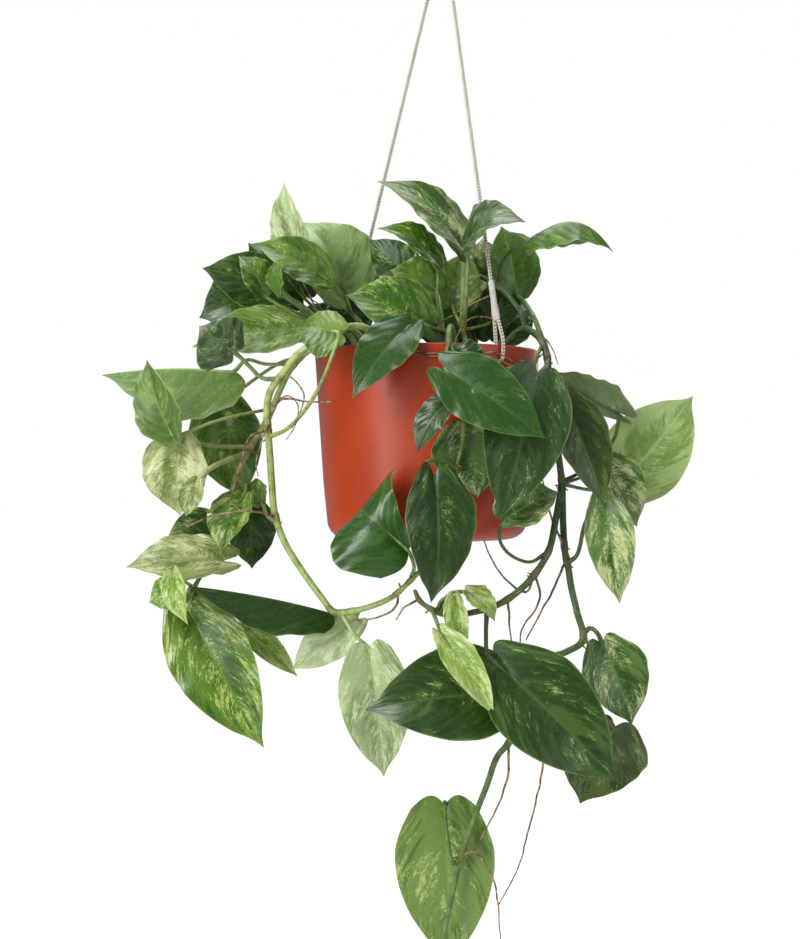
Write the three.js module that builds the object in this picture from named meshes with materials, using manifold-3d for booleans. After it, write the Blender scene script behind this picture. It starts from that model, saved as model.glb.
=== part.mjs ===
// A marble queen pothos in a round plastic pot that hangs from a forked rope.
// Millimetres, +Z up. The origin is the top of the small hanging loop, so everything hangs below it.
// The front of the plant faces -Y. Leaf and stem places are given as [u, v, y]: a pixel of the
// 800 x 939 front picture and the depth y of that point, which seen() turns into millimetres.
import * as THREE from 'three';
import { mergeVertices } from 'three/addons/utils/BufferGeometryUtils.js';
import Module from 'manifold-3d';

const wasm = await Module();
wasm.setup();

// Pot, measured from the middle of its bottom
const potHeight = 130;
const potRimRadius = 78.4;
const potFootRadius = 69.8;
const potWall = 2.4;
const potFloor = 3;
const potFootRound = 13;
const potSides = 30;
const drainHoleRadius = 4;
const drainHoleCount = 5;
const drainHoleRing = 40;

// Potting mix
const soilTop = 117;
const soilRise = 2;
const soilEdgeDrop = 3;
const soilGap = 0.4;
const stemHoleDepth = 16;
const stemHoleRadius = 4.5;

// Rope hanger
const ropeRadius = 1.5;
const ropeSides = 8;
const legSteps = 4;
const eyeSteps = 13;
const loopSteps = 16;
const whippingSides = 12;
const apex = [11.7, 0, 424];
const eyeHoleRadius = 2.9;
const eyeHoleHeight = 119;
const eyeAngles = { left: 143.4, right: -52.7 };
const eyeBend = 3.4;
const eyeTop = 132;
const eyeSpread = 1.75;
const whippingRadius = 2.9;
const whippingLength = 26;
const whippingRise = 16;
const legsMeetBelowApex = 8;
const knotBottom = 417.2;
const knotHeight = 15;
const knotRadius = 6.8;
const knotSides = 12;
const knotShoulder = 0.78;
const knotShoulderHeight = 0.2;
const loopTop = 460;
const loopHalfWidth = 6;
const loopFootHalfWidth = 2.2;
const touch = 0.35;

// The front picture: its middle pixel, the scale on the pot's axis and the eye that sees it
const pictureMiddle = [400, 469.5];
const scaleAtAxis = 0.7;
const eyeDistance = 1000;
const eyeAcross = -18.9;
const eyeHeight = 48;

// Leaf blades and stalks
const bladeThickness = 0.9;
const bladeColumns = 4;
const narrowBlade = 25;
const narrowColumns = 2;
const longBlade = 66;
const stalkSides = 4;
const stalkRadius = 1.15;
const stalkSunk = 5;
const stemSides = 5;
const rootSides = 3;
const rootRadius = 0.6;

const vec = (p) => new THREE.Vector3(p[0], p[1], p[2]);
const radians = THREE.MathUtils.degToRad;

function seen([u, v, y]) {
  const perPixel = scaleAtAxis * (eyeDistance + y) / eyeDistance;
  const x = eyeAcross + (u - pictureMiddle[0]) * perPixel;
  const z = eyeHeight + (pictureMiddle[1] - v) * perPixel;
  return new THREE.Vector3(x, y, z);
}

// Joining and cutting

function solidOf(geometry) {
  const plain = geometry.clone();
  plain.deleteAttribute('normal');
  plain.deleteAttribute('uv');
  const merged = mergeVertices(plain, 1e-4);
  const mesh = new wasm.Mesh({
    numProp: 3,
    vertProperties: Float32Array.from(merged.attributes.position.array),
    triVerts: Uint32Array.from(merged.index.array),
  });
  return new wasm.Manifold(mesh);
}

function geometryOf(solid) {
  const mesh = solid.getMesh();
  const geometry = new THREE.BufferGeometry();
  geometry.setAttribute('position', new THREE.BufferAttribute(mesh.vertProperties, 3));
  geometry.setIndex(new THREE.BufferAttribute(mesh.triVerts, 1));
  geometry.computeVertexNormals();
  return geometry;
}

function fuse(pieces) {
  const joined = pieces.reduce((sum, piece) => sum.add(piece));
  const bodies = joined.decompose();
  return bodies.reduce((best, body) => (body.volume() > best.volume() ? body : best));
}

function closedGeometry(points, faces) {
  const geometry = new THREE.BufferGeometry();
  geometry.setAttribute('position', new THREE.Float32BufferAttribute(points.flatMap((p) => p.toArray()), 3));
  geometry.setIndex(faces.flat());
  return geometry;
}

// A smooth line through its points whose even steps fall on the points themselves
class PointedCurve extends THREE.CatmullRomCurve3 {
  getPointAt(t, target) {
    return this.getPoint(t, target);
  }

  getTangentAt(t, target) {
    return this.getTangent(t, target);
  }

  getSpacedPoints(divisions) {
    return this.getPoints(divisions);
  }
}

// A round stalk, stem or rope along a smooth line, with a ring at each point unless steps says otherwise
function tubeAlong(points, radius, sides, steps = points.length - 1) {
  const ring = [];
  for (let k = 0; k < sides; k += 1) {
    const turn = 2 * Math.PI * k / sides;
    ring.push(new THREE.Vector2(radius * Math.cos(turn), radius * Math.sin(turn)));
  }
  const extrudePath = new PointedCurve(points, false, 'centripetal');
  return new THREE.ExtrudeGeometry(new THREE.Shape(ring), { extrudePath, steps, bevelEnabled: false });
}

// Leaf blade: s runs across it from -1 to 1, t from the stalk to the tip

function outline(t) {
  const widest = 0.3;
  if (t < widest) {
    return 0.66 + 0.34 * Math.sin(Math.PI / 2 * t / widest);
  }
  const u = (t - widest) / (1 - widest);
  return (1 - u ** 2) ** 1.12;
}

function leafFrame(leaf) {
  const base = leaf.baseAt ?? seen(leaf.base);
  const tip = leaf.tipAt ?? seen(leaf.tip);
  const along = tip.clone().sub(base);
  const length = along.length();
  along.normalize();
  const up = vec(leaf.face);
  up.addScaledVector(along, -up.dot(along)).normalize();
  const across = along.clone().cross(up);
  return { base, along, across, up, length };
}

function bladePoint(leaf, frame, s, t) {
  const { fold = 12, arch = 6, twist = 0, wave = 1.4, waves = 1.6, phase = 0, lobe = 0.13, cup = 0 } = leaf;
  const side = s * outline(t) * leaf.width / 2;
  const foldAngle = radians(fold);
  const twistAngle = radians(twist) * t;
  const ripple = wave * s * s * Math.sin(2 * Math.PI * (waves * t + phase) + (s > 0 ? 1.3 : 0));
  const flat = side * Math.cos(foldAngle);
  const raised = Math.abs(side) * Math.sin(foldAngle) + ripple * (1 - t) - cup * s * s * outline(t);
  const reach = frame.length * (t - lobe * Math.sin(Math.PI * Math.abs(s) ** 0.8) * (1 - t) ** 2);
  const point = frame.base.clone().addScaledVector(frame.along, reach);
  point.addScaledVector(frame.across, flat * Math.cos(twistAngle) - raised * Math.sin(twistAngle));
  point.addScaledVector(frame.up, flat * Math.sin(twistAngle) + raised * Math.cos(twistAngle));
  point.addScaledVector(frame.up, 4 * arch * t * (1 - t));
  return point;
}

function bladeNormal(leaf, frame, s, t) {
  const step = 0.02;
  const high = Math.min(t + step, 0.97);
  const low = Math.max(Math.min(t, 0.95) - step, 0);
  const left = Math.max(s - step, -1);
  const right = Math.min(s + step, 1);
  const middle = (low + high) / 2;
  const onward = bladePoint(leaf, frame, s, high).sub(bladePoint(leaf, frame, s, low));
  const sideways = bladePoint(leaf, frame, right, middle).sub(bladePoint(leaf, frame, left, middle));
  return sideways.cross(onward).normalize();
}

function blade(leaf) {
  const frame = leafFrame(leaf);
  const rows = frame.length > longBlade ? 5 : 4;
  const columns = leaf.width < narrowBlade ? narrowColumns : bladeColumns;
  const top = [];
  const under = [];
  const place = (s, t) => {
    const middle = bladePoint(leaf, frame, s, t);
    const lift = bladeNormal(leaf, frame, s, t).multiplyScalar(bladeThickness / 2);
    top.push(middle.clone().add(lift));
    under.push(middle.sub(lift));
  };
  for (let i = 0; i < rows; i += 1) {
    for (let j = 0; j <= columns; j += 1) {
      place(2 * j / columns - 1, i / rows);
    }
  }
  place(0, 1);
  const wide = columns + 1;
  const tip = rows * wide;
  const sheet = [];
  for (let i = 0; i < rows; i += 1) {
    for (let j = 0; j < columns; j += 1) {
      const a = i * wide + j;
      if (i === rows - 1) {
        sheet.push([a, a + 1, tip]);
      } else {
        sheet.push([a, a + 1, a + wide], [a + 1, a + wide + 1, a + wide]);
      }
    }
  }
  const edge = [];
  for (let j = 0; j < columns; j += 1) {
    edge.push([j, j + 1]);
  }
  for (let i = 0; i < rows; i += 1) {
    const right = i * wide + columns;
    edge.push([right, i === rows - 1 ? tip : right + wide]);
    edge.push([i === rows - 1 ? tip : (i + 1) * wide, i * wide]);
  }
  const under0 = top.length;
  const faces = sheet.map(([a, b, c]) => [a, b, c]);
  sheet.forEach(([a, b, c]) => faces.push([under0 + a, under0 + c, under0 + b]));
  edge.forEach(([a, b]) => faces.push([a, under0 + b, b], [a, under0 + a, under0 + b]));
  return solidOf(closedGeometry([...top, ...under], faces));
}

// The stalk ends a little way along the blade's midrib, sunk into it
function leafStalk(leaf) {
  const frame = leafFrame(leaf);
  const sunk = Math.min(stalkSunk, frame.length * 0.12);
  const points = leaf.stalk.map((p) => (p.isVector3 ? p : seen(p)));
  points.push(frame.base.clone().addScaledVector(frame.up, -0.3));
  points.push(bladePoint(leaf, frame, 0, sunk / frame.length).addScaledVector(frame.up, -0.3));
  const thick = leaf.thick ?? stalkRadius;
  return solidOf(tubeAlong(points, thick, stalkSides));
}

function vine(plan) {
  const pieces = plan.stems.map((stem) => {
    const start = stem.soil ? soilStart(stem.soil) : [];
    const points = [...start, ...stem.route.map((p) => (p.isVector3 ? p : seen(p)))];
    return solidOf(tubeAlong(points, stem.thick, stemSides));
  });
  plan.leaves.forEach((leaf) => {
    pieces.push(blade(leaf));
    if (leaf.stalk) {
      pieces.push(leafStalk(leaf));
    }
  });
  (plan.roots ?? []).forEach((root) => {
    const points = root.map((p) => seen(p));
    pieces.push(solidOf(tubeAlong(points, rootRadius, rootSides)));
  });
  return fuse(pieces);
}

function soilStart([x, y]) {
  return [vec([x, y, soilTop - stemHoleDepth + touch]), vec([x, y, soilTop + 3])];
}

// The long stem that leaves the pot at the left, hangs in a bow and comes back under the pot
const leftGarland = {
  stems: [
    {
      soil: [-22, -38],
      thick: 2.7,
      route: [
        [380, 338, -50], [362, 327, -55], [343, 328, -58], [318, 340, -60], [296, 356, -55], [284, 372, -50],
        [270, 392, -45], [267, 412, -42], [268, 431, -40], [270, 456, -38], [272, 486, -38], [275, 515, -40],
        [285, 543, -45], [303, 572, -52], [322, 598, -60], [334, 612, -64], [352, 611, -70], [372, 606, -76],
        [392, 597, -82], [413, 578, -90], [428, 563, -92],
      ],
    },
  ],
  leaves: [
    // draped over the rim, seen from below
    { base: [338, 332, -78], tip: [296, 329, -70], width: 36, face: [-0.1, -0.9, 0.35], fold: -16, arch: 3, lobe: 0.2,
      stalk: [[271, 436, -41], [287, 429, -50], [312, 400, -68], [330, 362, -82]], thick: 1.4 },
    // cupped leaf at the far left
    { base: [231, 350, -68], tip: [199, 326, -78], width: 42, face: [-0.3, -0.9, 0.2], fold: -8, lobe: 0.22,
      stalk: [[279, 379, -48], [262, 378, -50], [250, 367, -56], [240, 357, -62]], thick: 1.5 },
    // the long dark leaf under the bow
    { base: [328, 612, -64], tip: [188, 586, -69], width: 52, face: [0, -0.1, 1], fold: -48, arch: 2, lobe: 0.06 },
    // pale twisted leaf behind it
    { base: [356, 620, -54], tip: [292, 670, -44], width: 30, face: [-0.2, -0.95, 0.1], wave: 3, waves: 2,
      stalk: [[352, 611, -69]] },
    // narrow leaf that hangs from the dark one
    { base: [243, 624, -28], tip: [298, 677, -30], width: 20, face: [-0.3, -0.8, 0.5], fold: 24,
      stalk: [[333, 613, -62], [300, 618, -34], [262, 620, -29]] },
    // pale heart leaf below the bow
    { base: [369, 649, -70], tip: [384, 777, -58], width: 48, face: [0.1, -0.95, 0.2], fold: 14, arch: 8,
      stalk: [[341, 612, -66], [354, 634, -70]], thick: 1.3 },
    // big leaf whose far end bends away, in front of the pot
    { base: [408, 551, -100], tip: [361, 513, -64], width: 72, face: [-0.6, -0.5, 0.6], fold: 4, arch: 22,
      stalk: [[411, 579, -89], [414, 566, -97]], thick: 1.3 },
    // small pale half leaf on the upright
    { base: [262, 503, -34], tip: [256, 478, -26], width: 22, face: [-0.2, -0.8, -0.5],
      stalk: [[276, 521, -41], [268, 517, -38]] },
  ],
  roots: [
    [[268, 424, -41], [280, 400, -44], [306, 402, -56], [331, 402, -74]],
    [[268, 430, -40], [250, 437, -46], [240, 465, -50], [230, 501, -52]],
    [[276, 517, -40], [250, 511, -64], [215, 515, -68], [186, 527, -72]],
  ],
};

// The woody stem that carries the bunch of leaves at the left
const leftBunch = {
  stems: [
    {
      soil: [-36, -26],
      thick: 2.4,
      route: [
        [352, 330, -42], [338, 335, -48], [322, 344, -49], [304, 354, -44], [290, 370, -36], [280, 390, -28],
        [271, 411, -22], [261, 430, -18], [250, 448, -20], [240, 467, -24], [234, 487, -28], [230, 510, -27],
        [222, 535, -29], [208, 562, -34], [194, 588, -46], [186, 602, -54],
      ],
    },
  ],
  leaves: [
    // wide pale leaf that points left
    { base: [234, 371, -30], tip: [102, 375, -34], width: 78, face: [0, -0.1, 1], fold: -60, arch: 3, lobe: 0.08,
      stalk: [[294, 364, -38], [265, 364, -30], [246, 360, -28]], thick: 1.3 },
    // upright leaf in front of it
    { base: [173, 436, -66], tip: [147, 360, -70], width: 38, face: [-0.5, -0.8, 0.1], fold: 18, arch: 4,
      stalk: [[270, 409, -22], [235, 416, -44], [210, 423, -58], [190, 431, -64]] },
    // dark leaf behind the upright stem
    { base: [222, 402, -6], tip: [242, 500, 4], width: 52, face: [-0.1, -0.95, 0.25], arch: 5,
      stalk: [[299, 358, -41], [282, 362, -26], [262, 374, -16], [240, 390, -10]], thick: 1.3 },
    // cream leaf
    { base: [180, 440, -50], tip: [180, 516, -44], width: 48, face: [-0.2, -0.95, 0.1], fold: 14, wave: 3,
      stalk: [[251, 447, -20], [215, 446, -42], [196, 443, -50]], thick: 1.5 },
    // small cream leaf on the thick pale stalk
    { base: [198, 481, -70], tip: [186, 517, -68], width: 18, face: [-0.1, -0.95, 0.1], fold: 24,
      stalk: [[247, 453, -21], [230, 459, -48], [208, 470, -66]], thick: 1.9 },
    // marbled leaf, half hidden
    { base: [220, 533, -18], tip: [163, 546, -22], width: 40, face: [0, -0.95, 0.1], wave: 2,
      stalk: [[226, 524, -28]] },
    // bright green leaf
    { base: [242, 498, -42], tip: [221, 553, -56], width: 33, face: [-0.35, -0.85, 0.4], arch: 5,
      stalk: [[236, 480, -26], [246, 486, -34]] },
    // dark leaf turned to its underside
    { base: [247, 503, -16], tip: [252, 569, -12], width: 36, face: [0.2, -0.95, -0.1],
      stalk: [[234, 487, -28], [243, 490, -20]] },
    // marbled leaf that lies level
    { base: [222, 561, -44], tip: [126, 567, -52], width: 38, face: [0, -0.8, 0.6], fold: 8, lobe: 0.2, wave: 2.5,
      stalk: [[212, 554, -32], [222, 554, -38]] },
    // two young leaves at the stem's tip
    { base: [178, 594, -64], tip: [149, 603, -66], width: 24, face: [-0.1, -0.9, 0.3], fold: 16,
      stalk: [[190, 595, -50]] },
    { base: [174, 574, -74], tip: [188, 625, -88], width: 20, face: [-0.3, -0.9, 0.2], fold: 26,
      stalk: [[194, 588, -46], [180, 578, -62]] },
    // big marbled leaf at the bottom left
    { base: [189, 610, -44], tip: [264, 748, -62], width: 56, face: [-0.1, -0.95, 0.25], fold: 10, arch: 7,
      stalk: [[192, 592, -48]], thick: 1.3 },
  ],
};

// The stem that carries the left side of the crown
const crownLeft = {
  stems: [
    {
      soil: [-46, -10],
      thick: 2.3,
      route: [[350, 336, -16], [338, 330, -22], [326, 325, -28], [314, 321, -32], [304, 326, -35]],
    },
  ],
  leaves: [
    { base: [299, 329, -38], tip: [192, 347, -52], width: 42, face: [-0.1, -0.85, 0.5], arch: 5, stalk: [[308, 324, -34]],
      thick: 1.5 },
    { base: [262, 293, -40], tip: [238, 256, -42], width: 26, face: [0.4, -0.85, 0.3], fold: 18,
      stalk: [[309, 323, -34], [285, 309, -38]] },
    { base: [283, 294, -56], tip: [293, 255, -60], width: 24, face: [-0.85, -0.5, 0.1], fold: 20,
      stalk: [[316, 320, -32], [298, 306, -46]] },
    { base: [284, 292, -16], tip: [202, 268, -26], width: 44, face: [-0.2, -0.92, 0.3], arch: 4,
      stalk: [[315, 320, -31], [298, 305, -21]] },
    { base: [268, 294, -4], tip: [199, 318, -10], width: 52, face: [-0.2, -0.95, 0.1],
      stalk: [[322, 322, -29], [294, 300, -9]] },
    { base: [302, 296, 10], tip: [248, 243, 12], width: 50, face: [0.1, -0.98, 0.1], arch: 3,
      stalk: [[326, 325, -28], [314, 308, 0]] },
  ],
  roots: [[[328, 326, -28], [312, 300, -32], [301, 279, -34]]],
};

// The stem behind it with the upright and the broad pale leaf
const crownLeftBack = {
  stems: [
    {
      soil: [-30, 4],
      thick: 2.2,
      route: [[366, 330, -2], [356, 318, -4], [346, 308, -6]],
    },
  ],
  leaves: [
    { base: [326, 279, -36], tip: [254, 243, -44], width: 34, face: [-0.3, -0.8, 0.5], fold: 20, arch: 5,
      stalk: [[350, 312, -5], [343, 296, -24]], thick: 1.3 },
    { base: [346, 297, 10], tip: [300, 222, 26], width: 64, face: [0.3, -0.85, 0.4], fold: 12, arch: 12,
      stalk: [[350, 312, -5]], thick: 1.5 },
    { base: [303, 262, -16], tip: [284, 183, -22], width: 36, face: [-0.5, -0.85, 0.1], fold: 24,
      stalk: [[348, 310, -6], [328, 288, -12]], thick: 1.3 },
  ],
};

// The stem in the middle of the rim: the dark leaf over the front, a bright one and those above
const crownMiddle = {
  stems: [
    {
      soil: [10, -34],
      thick: 2.2,
      route: [[446, 333, -40], [438, 329, -44], [430, 327, -48]],
    },
  ],
  leaves: [
    { base: [409, 326, -70], tip: [352, 399, -100], width: 36, face: [-0.15, -0.9, 0.35], fold: 8, arch: 7,
      stalk: [[438, 329, -44], [424, 326, -58]] },
    { base: [425, 324, -54], tip: [346, 295, -58], width: 46, face: [-0.1, -0.85, 0.45], arch: 6,
      stalk: [[436, 329, -45]] },
    { base: [438, 268, -38], tip: [377, 228, -50], width: 30, face: [0.35, -0.7, 0.6], fold: 14, arch: 9,
      stalk: [[440, 330, -42], [437, 300, -40]] },
    { base: [414, 282, -6], tip: [369, 239, 2], width: 32, face: [-0.2, -0.95, 0.1], arch: 3,
      stalk: [[440, 330, -42], [430, 306, -24]] },
    { base: [436, 290, -22], tip: [390, 270, -26], width: 36, face: [-0.1, -0.9, 0.4], arch: 4,
      stalk: [[443, 332, -40], [441, 308, -30]] },
  ],
};

// The thick stalks that carry the tall leaves at the right
const crownRight = {
  stems: [
    {
      soil: [30, -26],
      thick: 2.2,
      route: [[463, 330, -28], [463, 322, -29]],
    },
  ],
  leaves: [
    { base: [463, 252, -30], tip: [377, 181, -40], width: 44, face: [0.4, -0.7, 0.6], fold: 12, arch: 11,
      stalk: [[462, 327, -28], [463, 290, -30]], thick: 2 },
    { base: [469, 247, -48], tip: [526, 222, -64], width: 42, face: [-0.2, -0.65, 0.75], fold: 10, arch: 13,
      stalk: [[464, 328, -28], [467, 285, -42]], thick: 1.6 },
    { base: [452, 304, -8], tip: [464, 252, -4], width: 34, face: [0, -0.95, 0.2], arch: 4,
      stalk: [[462, 328, -28], [456, 316, -18]] },
    { base: [490, 322, 2], tip: [512, 276, 10], width: 30, face: [0.1, -0.95, 0.1],
      stalk: [[464, 330, -28], [477, 327, -13]] },
  ],
};

// The long right-hand stem: over the rim, down behind the front leaves, then the low bunch and trail
const rightTrail = {
  stems: [
    {
      soil: [46, -14],
      thick: 2.6,
      route: [
        [520, 330, -28], [534, 333, -42], [543, 343, -49], [547, 356, -51], [549, 382, -48], [553, 420, -44],
        [558, 452, -42], [562, 484, -42], [563, 520, -42], [565, 552, -44], [568, 566, -45], [571, 586, -46],
        [577, 612, -48], [583, 640, -50], [566, 652, -55], [544, 660, -60], [528, 684, -64], [518, 715, -66],
        [509, 742, -62], [497, 757, -56], [487, 785, -50], [478, 808, -47], [468, 835, -44], [461, 857, -42],
        [455, 882, -42], [449, 910, -43], [443, 939, -44], [440, 958, -44],
      ],
    },
    {
      thick: 2.5,
      route: [
        [562, 484, -42], [556, 518, -50], [549, 550, -58], [535, 574, -64], [515, 594, -70], [495, 606, -74],
        [475, 612, -77], [450, 615, -80], [433, 610, -82], [420, 601, -83], [415, 591, -84],
      ],
    },
    {
      thick: 2,
      route: [
        [524, 327, -30], [521, 314, -26], [509, 297, -20], [494, 284, -12], [481, 277, -8], [468, 274, -2],
        [452, 278, 3], [438, 286, 8],
      ],
    },
  ],
  leaves: [
    // crown, right side
    { base: [530, 240, -48], tip: [613, 252, -56], width: 42, face: [0, -0.1, 1], fold: -46, arch: 16, lobe: 0.08,
      stalk: [[497, 286, -13], [502, 262, -30], [514, 249, -44]], thick: 1.4 },
    { base: [516, 292, -8], tip: [501, 226, 0], width: 38, face: [0.2, -0.95, 0.2], arch: 5,
      stalk: [[543, 343, -49], [536, 322, -40], [524, 302, -20]], thick: 1.9 },
    { base: [490, 276, 6], tip: [482, 238, 10], width: 22, face: [-0.2, -0.95, 0.1],
      stalk: [[494, 284, -12]] },
    // big blue-green leaf at the right of the pot
    { base: [538, 376, -84], tip: [500, 521, -100], width: 56, face: [0.12, -0.95, 0.2], fold: 8, arch: 5, lobe: 0.08,
      stalk: [[547, 358, -51], [546, 366, -66]], thick: 1.5 },
    // pale variegated leaf between it and the pot
    { base: [530, 376, -72], tip: [494, 408, -80], width: 26, face: [-0.1, -0.95, 0.2], fold: 4, lobe: 0.08,
      stalk: [[543, 343, -49], [536, 360, -60]] },
    // curled leaf on its long stalk
    { base: [617, 411, -28], tip: [555, 371, -22], width: 40, face: [0.1, 0.5, 0.85], fold: 16, arch: -3, lobe: 0.26,
      stalk: [[562, 482, -42], [584, 470, -38], [604, 453, -34], [616, 434, -30]], thick: 1.3 },
    // broad pale leaf at the far right
    { base: [620, 488, -12], tip: [693, 396, -4], width: 60, face: [0.1, -0.97, 0.15], fold: 6, arch: 5,
      stalk: [[562, 484, -42], [592, 490, -24]], thick: 1.3 },
    // marbled leaf in front of it
    { base: [603, 463, -46], tip: [637, 527, -42], width: 38, face: [0.1, -0.95, 0.15], arch: 4,
      stalk: [[562, 484, -42], [584, 476, -45]] },
    // olive leaf beside the big one
    { base: [565, 402, -62], tip: [604, 506, -76], width: 38, face: [0.2, -0.95, 0.2], fold: 10, arch: 4,
      stalk: [[552, 415, -44], [558, 406, -54]] },
    // hanging marbled leaf
    { base: [604, 502, -62], tip: [620, 604, -62], width: 33, face: [-0.15, -0.95, 0.15], fold: 12, arch: 4,
      stalk: [[567, 563, -45], [577, 555, -52], [585, 524, -60], [594, 508, -62]], thick: 1.5 },
    // small marbled leaf under the pot's edge
    { base: [505, 519, -80], tip: [559, 492, -74], width: 42, face: [0, -0.75, 0.65], fold: 22, arch: 2,
      stalk: [[546, 553, -58], [530, 562, -63], [508, 553, -70], [499, 536, -76]], thick: 1.2 },
    // low bunch
    { base: [500, 667, -94], tip: [617, 782, -98], width: 64, face: [0.05, -0.95, 0.25], fold: 8, arch: 10,
      stalk: [[487, 609, -75], [486, 635, -80], [488, 656, -88]], thick: 1.5 },
    { base: [511, 692, -76], tip: [365, 710, -84], width: 64, face: [-0.1, -0.9, 0.35], fold: 8, arch: 9,
      stalk: [[522, 701, -66]], thick: 1.4 },
    { base: [603, 646, -46], tip: [632, 725, -52], width: 48, face: [0.15, -0.9, 0.35], arch: 5,
      stalk: [[582, 636, -50], [590, 628, -49], [598, 634, -47]], thick: 1.6 },
    { base: [614, 728, -40], tip: [580, 804, -32], width: 62, face: [0.1, -0.95, -0.2], arch: -4,
      stalk: [[583, 640, -50], [590, 646, -64], [592, 683, -68], [602, 714, -54]], thick: 1.3 },
    { base: [443, 636, -96], tip: [495, 717, -108], width: 24, face: [0.2, -0.95, 0.1], fold: 24,
      stalk: [[432, 609, -82], [436, 620, -90]], thick: 1.3 },
    { base: [455, 597, -86], tip: [467, 650, -86], width: 18, face: [-0.3, -0.9, 0.1], fold: 26,
      stalk: [[437, 612, -81], [442, 600, -84]] },
    { base: [466, 592, -82], tip: [495, 622, -84], width: 18, face: [0.3, -0.8, 0.5], fold: 20,
      stalk: [[440, 613, -81], [449, 594, -81]] },
    // the lowest leaf, on its bent stalk
    { base: [445, 806, -30], tip: [450, 966, -24], width: 68, face: [-0.05, -0.98, 0.1], fold: 6, arch: 5, lobe: 0.07,
      stalk: [[461, 857, -42], [454, 864, -45], [448, 840, -46], [445, 815, -42], [445, 802, -35]], thick: 1.4 },
    // young leaf at the end of the trail
    { base: [439, 960, -48], tip: [428, 996, -52], width: 20, face: [-0.2, -0.9, 0.2], fold: 26,
      stalk: [[440, 956, -44]] },
  ],
  roots: [
    [[509, 744, -62], [507, 780, -58], [492, 818, -50], [473, 852, -44]],
    [[462, 855, -42], [474, 852, -46], [493, 880, -50], [501, 942, -52]],
    [[535, 574, -64], [540, 600, -58], [522, 628, -54], [520, 644, -54]],
    [[566, 560, -45], [553, 590, -50], [540, 614, -54], [526, 640, -56]],
  ],
};

// The stem down the front of the pot
const frontStem = {
  stems: [
    {
      soil: [20, -50],
      thick: 1.9,
      route: [
        [452, 327, -70], [449, 330, -82], [449, 342, -87], [452, 364, -89], [458, 392, -89], [463, 420, -88],
        [462, 445, -86], [456, 468, -85],
      ],
    },
  ],
  leaves: [
    { base: [446, 370, -104], tip: [546, 439, -114], width: 44, face: [0, -0.95, 0.3], fold: 6, arch: 6,
      stalk: [[449, 342, -87], [446, 354, -95]], thick: 1.3 },
    { base: [455, 352, -92], tip: [486, 369, -92], width: 20, face: [0, -0.95, 0.3],
      stalk: [[449, 343, -87]] },
    { base: [449, 400, -96], tip: [417, 453, -96], width: 22, face: [-0.5, -0.85, 0.1], fold: 12,
      stalk: [[457, 386, -89]] },
    { base: [467, 428, -79], tip: [478, 498, -77], width: 50, face: [0.05, -0.98, 0.05], fold: 2, arch: 2, wave: 1,
      stalk: [[463, 424, -87]] },
    { base: [434, 478, -104], tip: [431, 603, -104], width: 52, face: [0.45, -0.87, 0.15], fold: 16, arch: 8,
      stalk: [[456, 466, -85], [440, 459, -92], [427, 462, -98], [425, 470, -102]], thick: 1.3 },
  ],
};

// Stems at the back, by one rule: over the rim and down, with a leaf to either side in turn
const backStems = [
  { soil: [-20, 32], angle: 112, drop: 96, seed: 3 },
  { soil: [30, 28], angle: 66, drop: 84, seed: 12 },
];
const backLeafSpacing = 40;
const backStemOut = 92;
const backCrownLeaves = 2;

function randomFrom(seed) {
  let state = seed * 2654435761 % 4294967296;
  return () => {
    state = (state * 1664525 + 1013904223) % 4294967296;
    return state / 4294967296;
  };
}

function backVine({ soil, angle, drop, seed }) {
  const random = randomFrom(seed);
  const turn = radians(angle);
  const outward = new THREE.Vector3(Math.cos(turn), Math.sin(turn), 0);
  const sideways = new THREE.Vector3(-outward.y, outward.x, 0);
  const at = (radius, height, side = 0) => outward.clone().multiplyScalar(radius)
    .addScaledVector(sideways, side).setZ(height);
  const start = vec([soil[0], soil[1], soilTop + 10]);
  const crest = at(76, potHeight + 9);
  const down = [];
  const hangs = Math.floor(drop / backLeafSpacing);
  for (let i = 0; i <= hangs; i += 1) {
    down.push(at(backStemOut + 5 * Math.sin(i * 1.9), potHeight - 8 - i * backLeafSpacing, 4 * Math.sin(i * 2.4)));
  }
  const leaves = [];
  down.forEach((node, i) => {
    const side = i % 2 === 0 ? 1 : -1;
    const length = 48 + 14 * random();
    const base = node.clone().addScaledVector(outward, 9).addScaledVector(sideways, side * 8);
    base.z += 2;
    const reach = sideways.clone().multiplyScalar(side * (0.26 + 0.14 * random()));
    reach.addScaledVector(outward, 0.3).setZ(-0.8);
    const tipAt = base.clone().addScaledVector(reach.normalize(), length);
    const face = outward.clone().setZ(0.35).toArray();
    leaves.push({ baseAt: base, tipAt, width: length * 0.66, face, stalk: [node], phase: random(), arch: 6 });
  });
  for (let i = 0; i < backCrownLeaves; i += 1) {
    const lean = (i - (backCrownLeaves - 1) / 2) * 0.62;
    const rise = 34 + 26 * random();
    const base = start.clone().addScaledVector(outward, 16 + 6 * i).addScaledVector(sideways, lean * 30);
    base.z += rise;
    const reach = outward.clone().multiplyScalar(0.55).addScaledVector(sideways, lean * 0.9).setZ(0.45);
    const length = 52 + 16 * random();
    const tipAt = base.clone().addScaledVector(reach.normalize(), length);
    const face = outward.clone().multiplyScalar(0.7).setZ(0.8).toArray();
    leaves.push({ baseAt: base, tipAt, width: length * 0.68, face, stalk: [start], phase: random(), arch: 8 });
  }
  const route = [start, start.clone().lerp(crest, 0.6).setZ(potHeight + 8), crest, ...down];
  return vine({ stems: [{ soil, thick: 2.2, route }], leaves });
}

// Pot wall radius at a height above its bottom, outside
function potRadiusAt(height) {
  return THREE.MathUtils.lerp(potFootRadius, potRimRadius, height / potHeight);
}

function arcPoints(middle, radius, from, to, count) {
  return Array.from({ length: count + 1 }, (_, i) => {
    const turn = radians(THREE.MathUtils.lerp(from, to, i / count));
    return [middle[0] + radius * Math.cos(turn), middle[1] + radius * Math.sin(turn)];
  });
}

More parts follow.
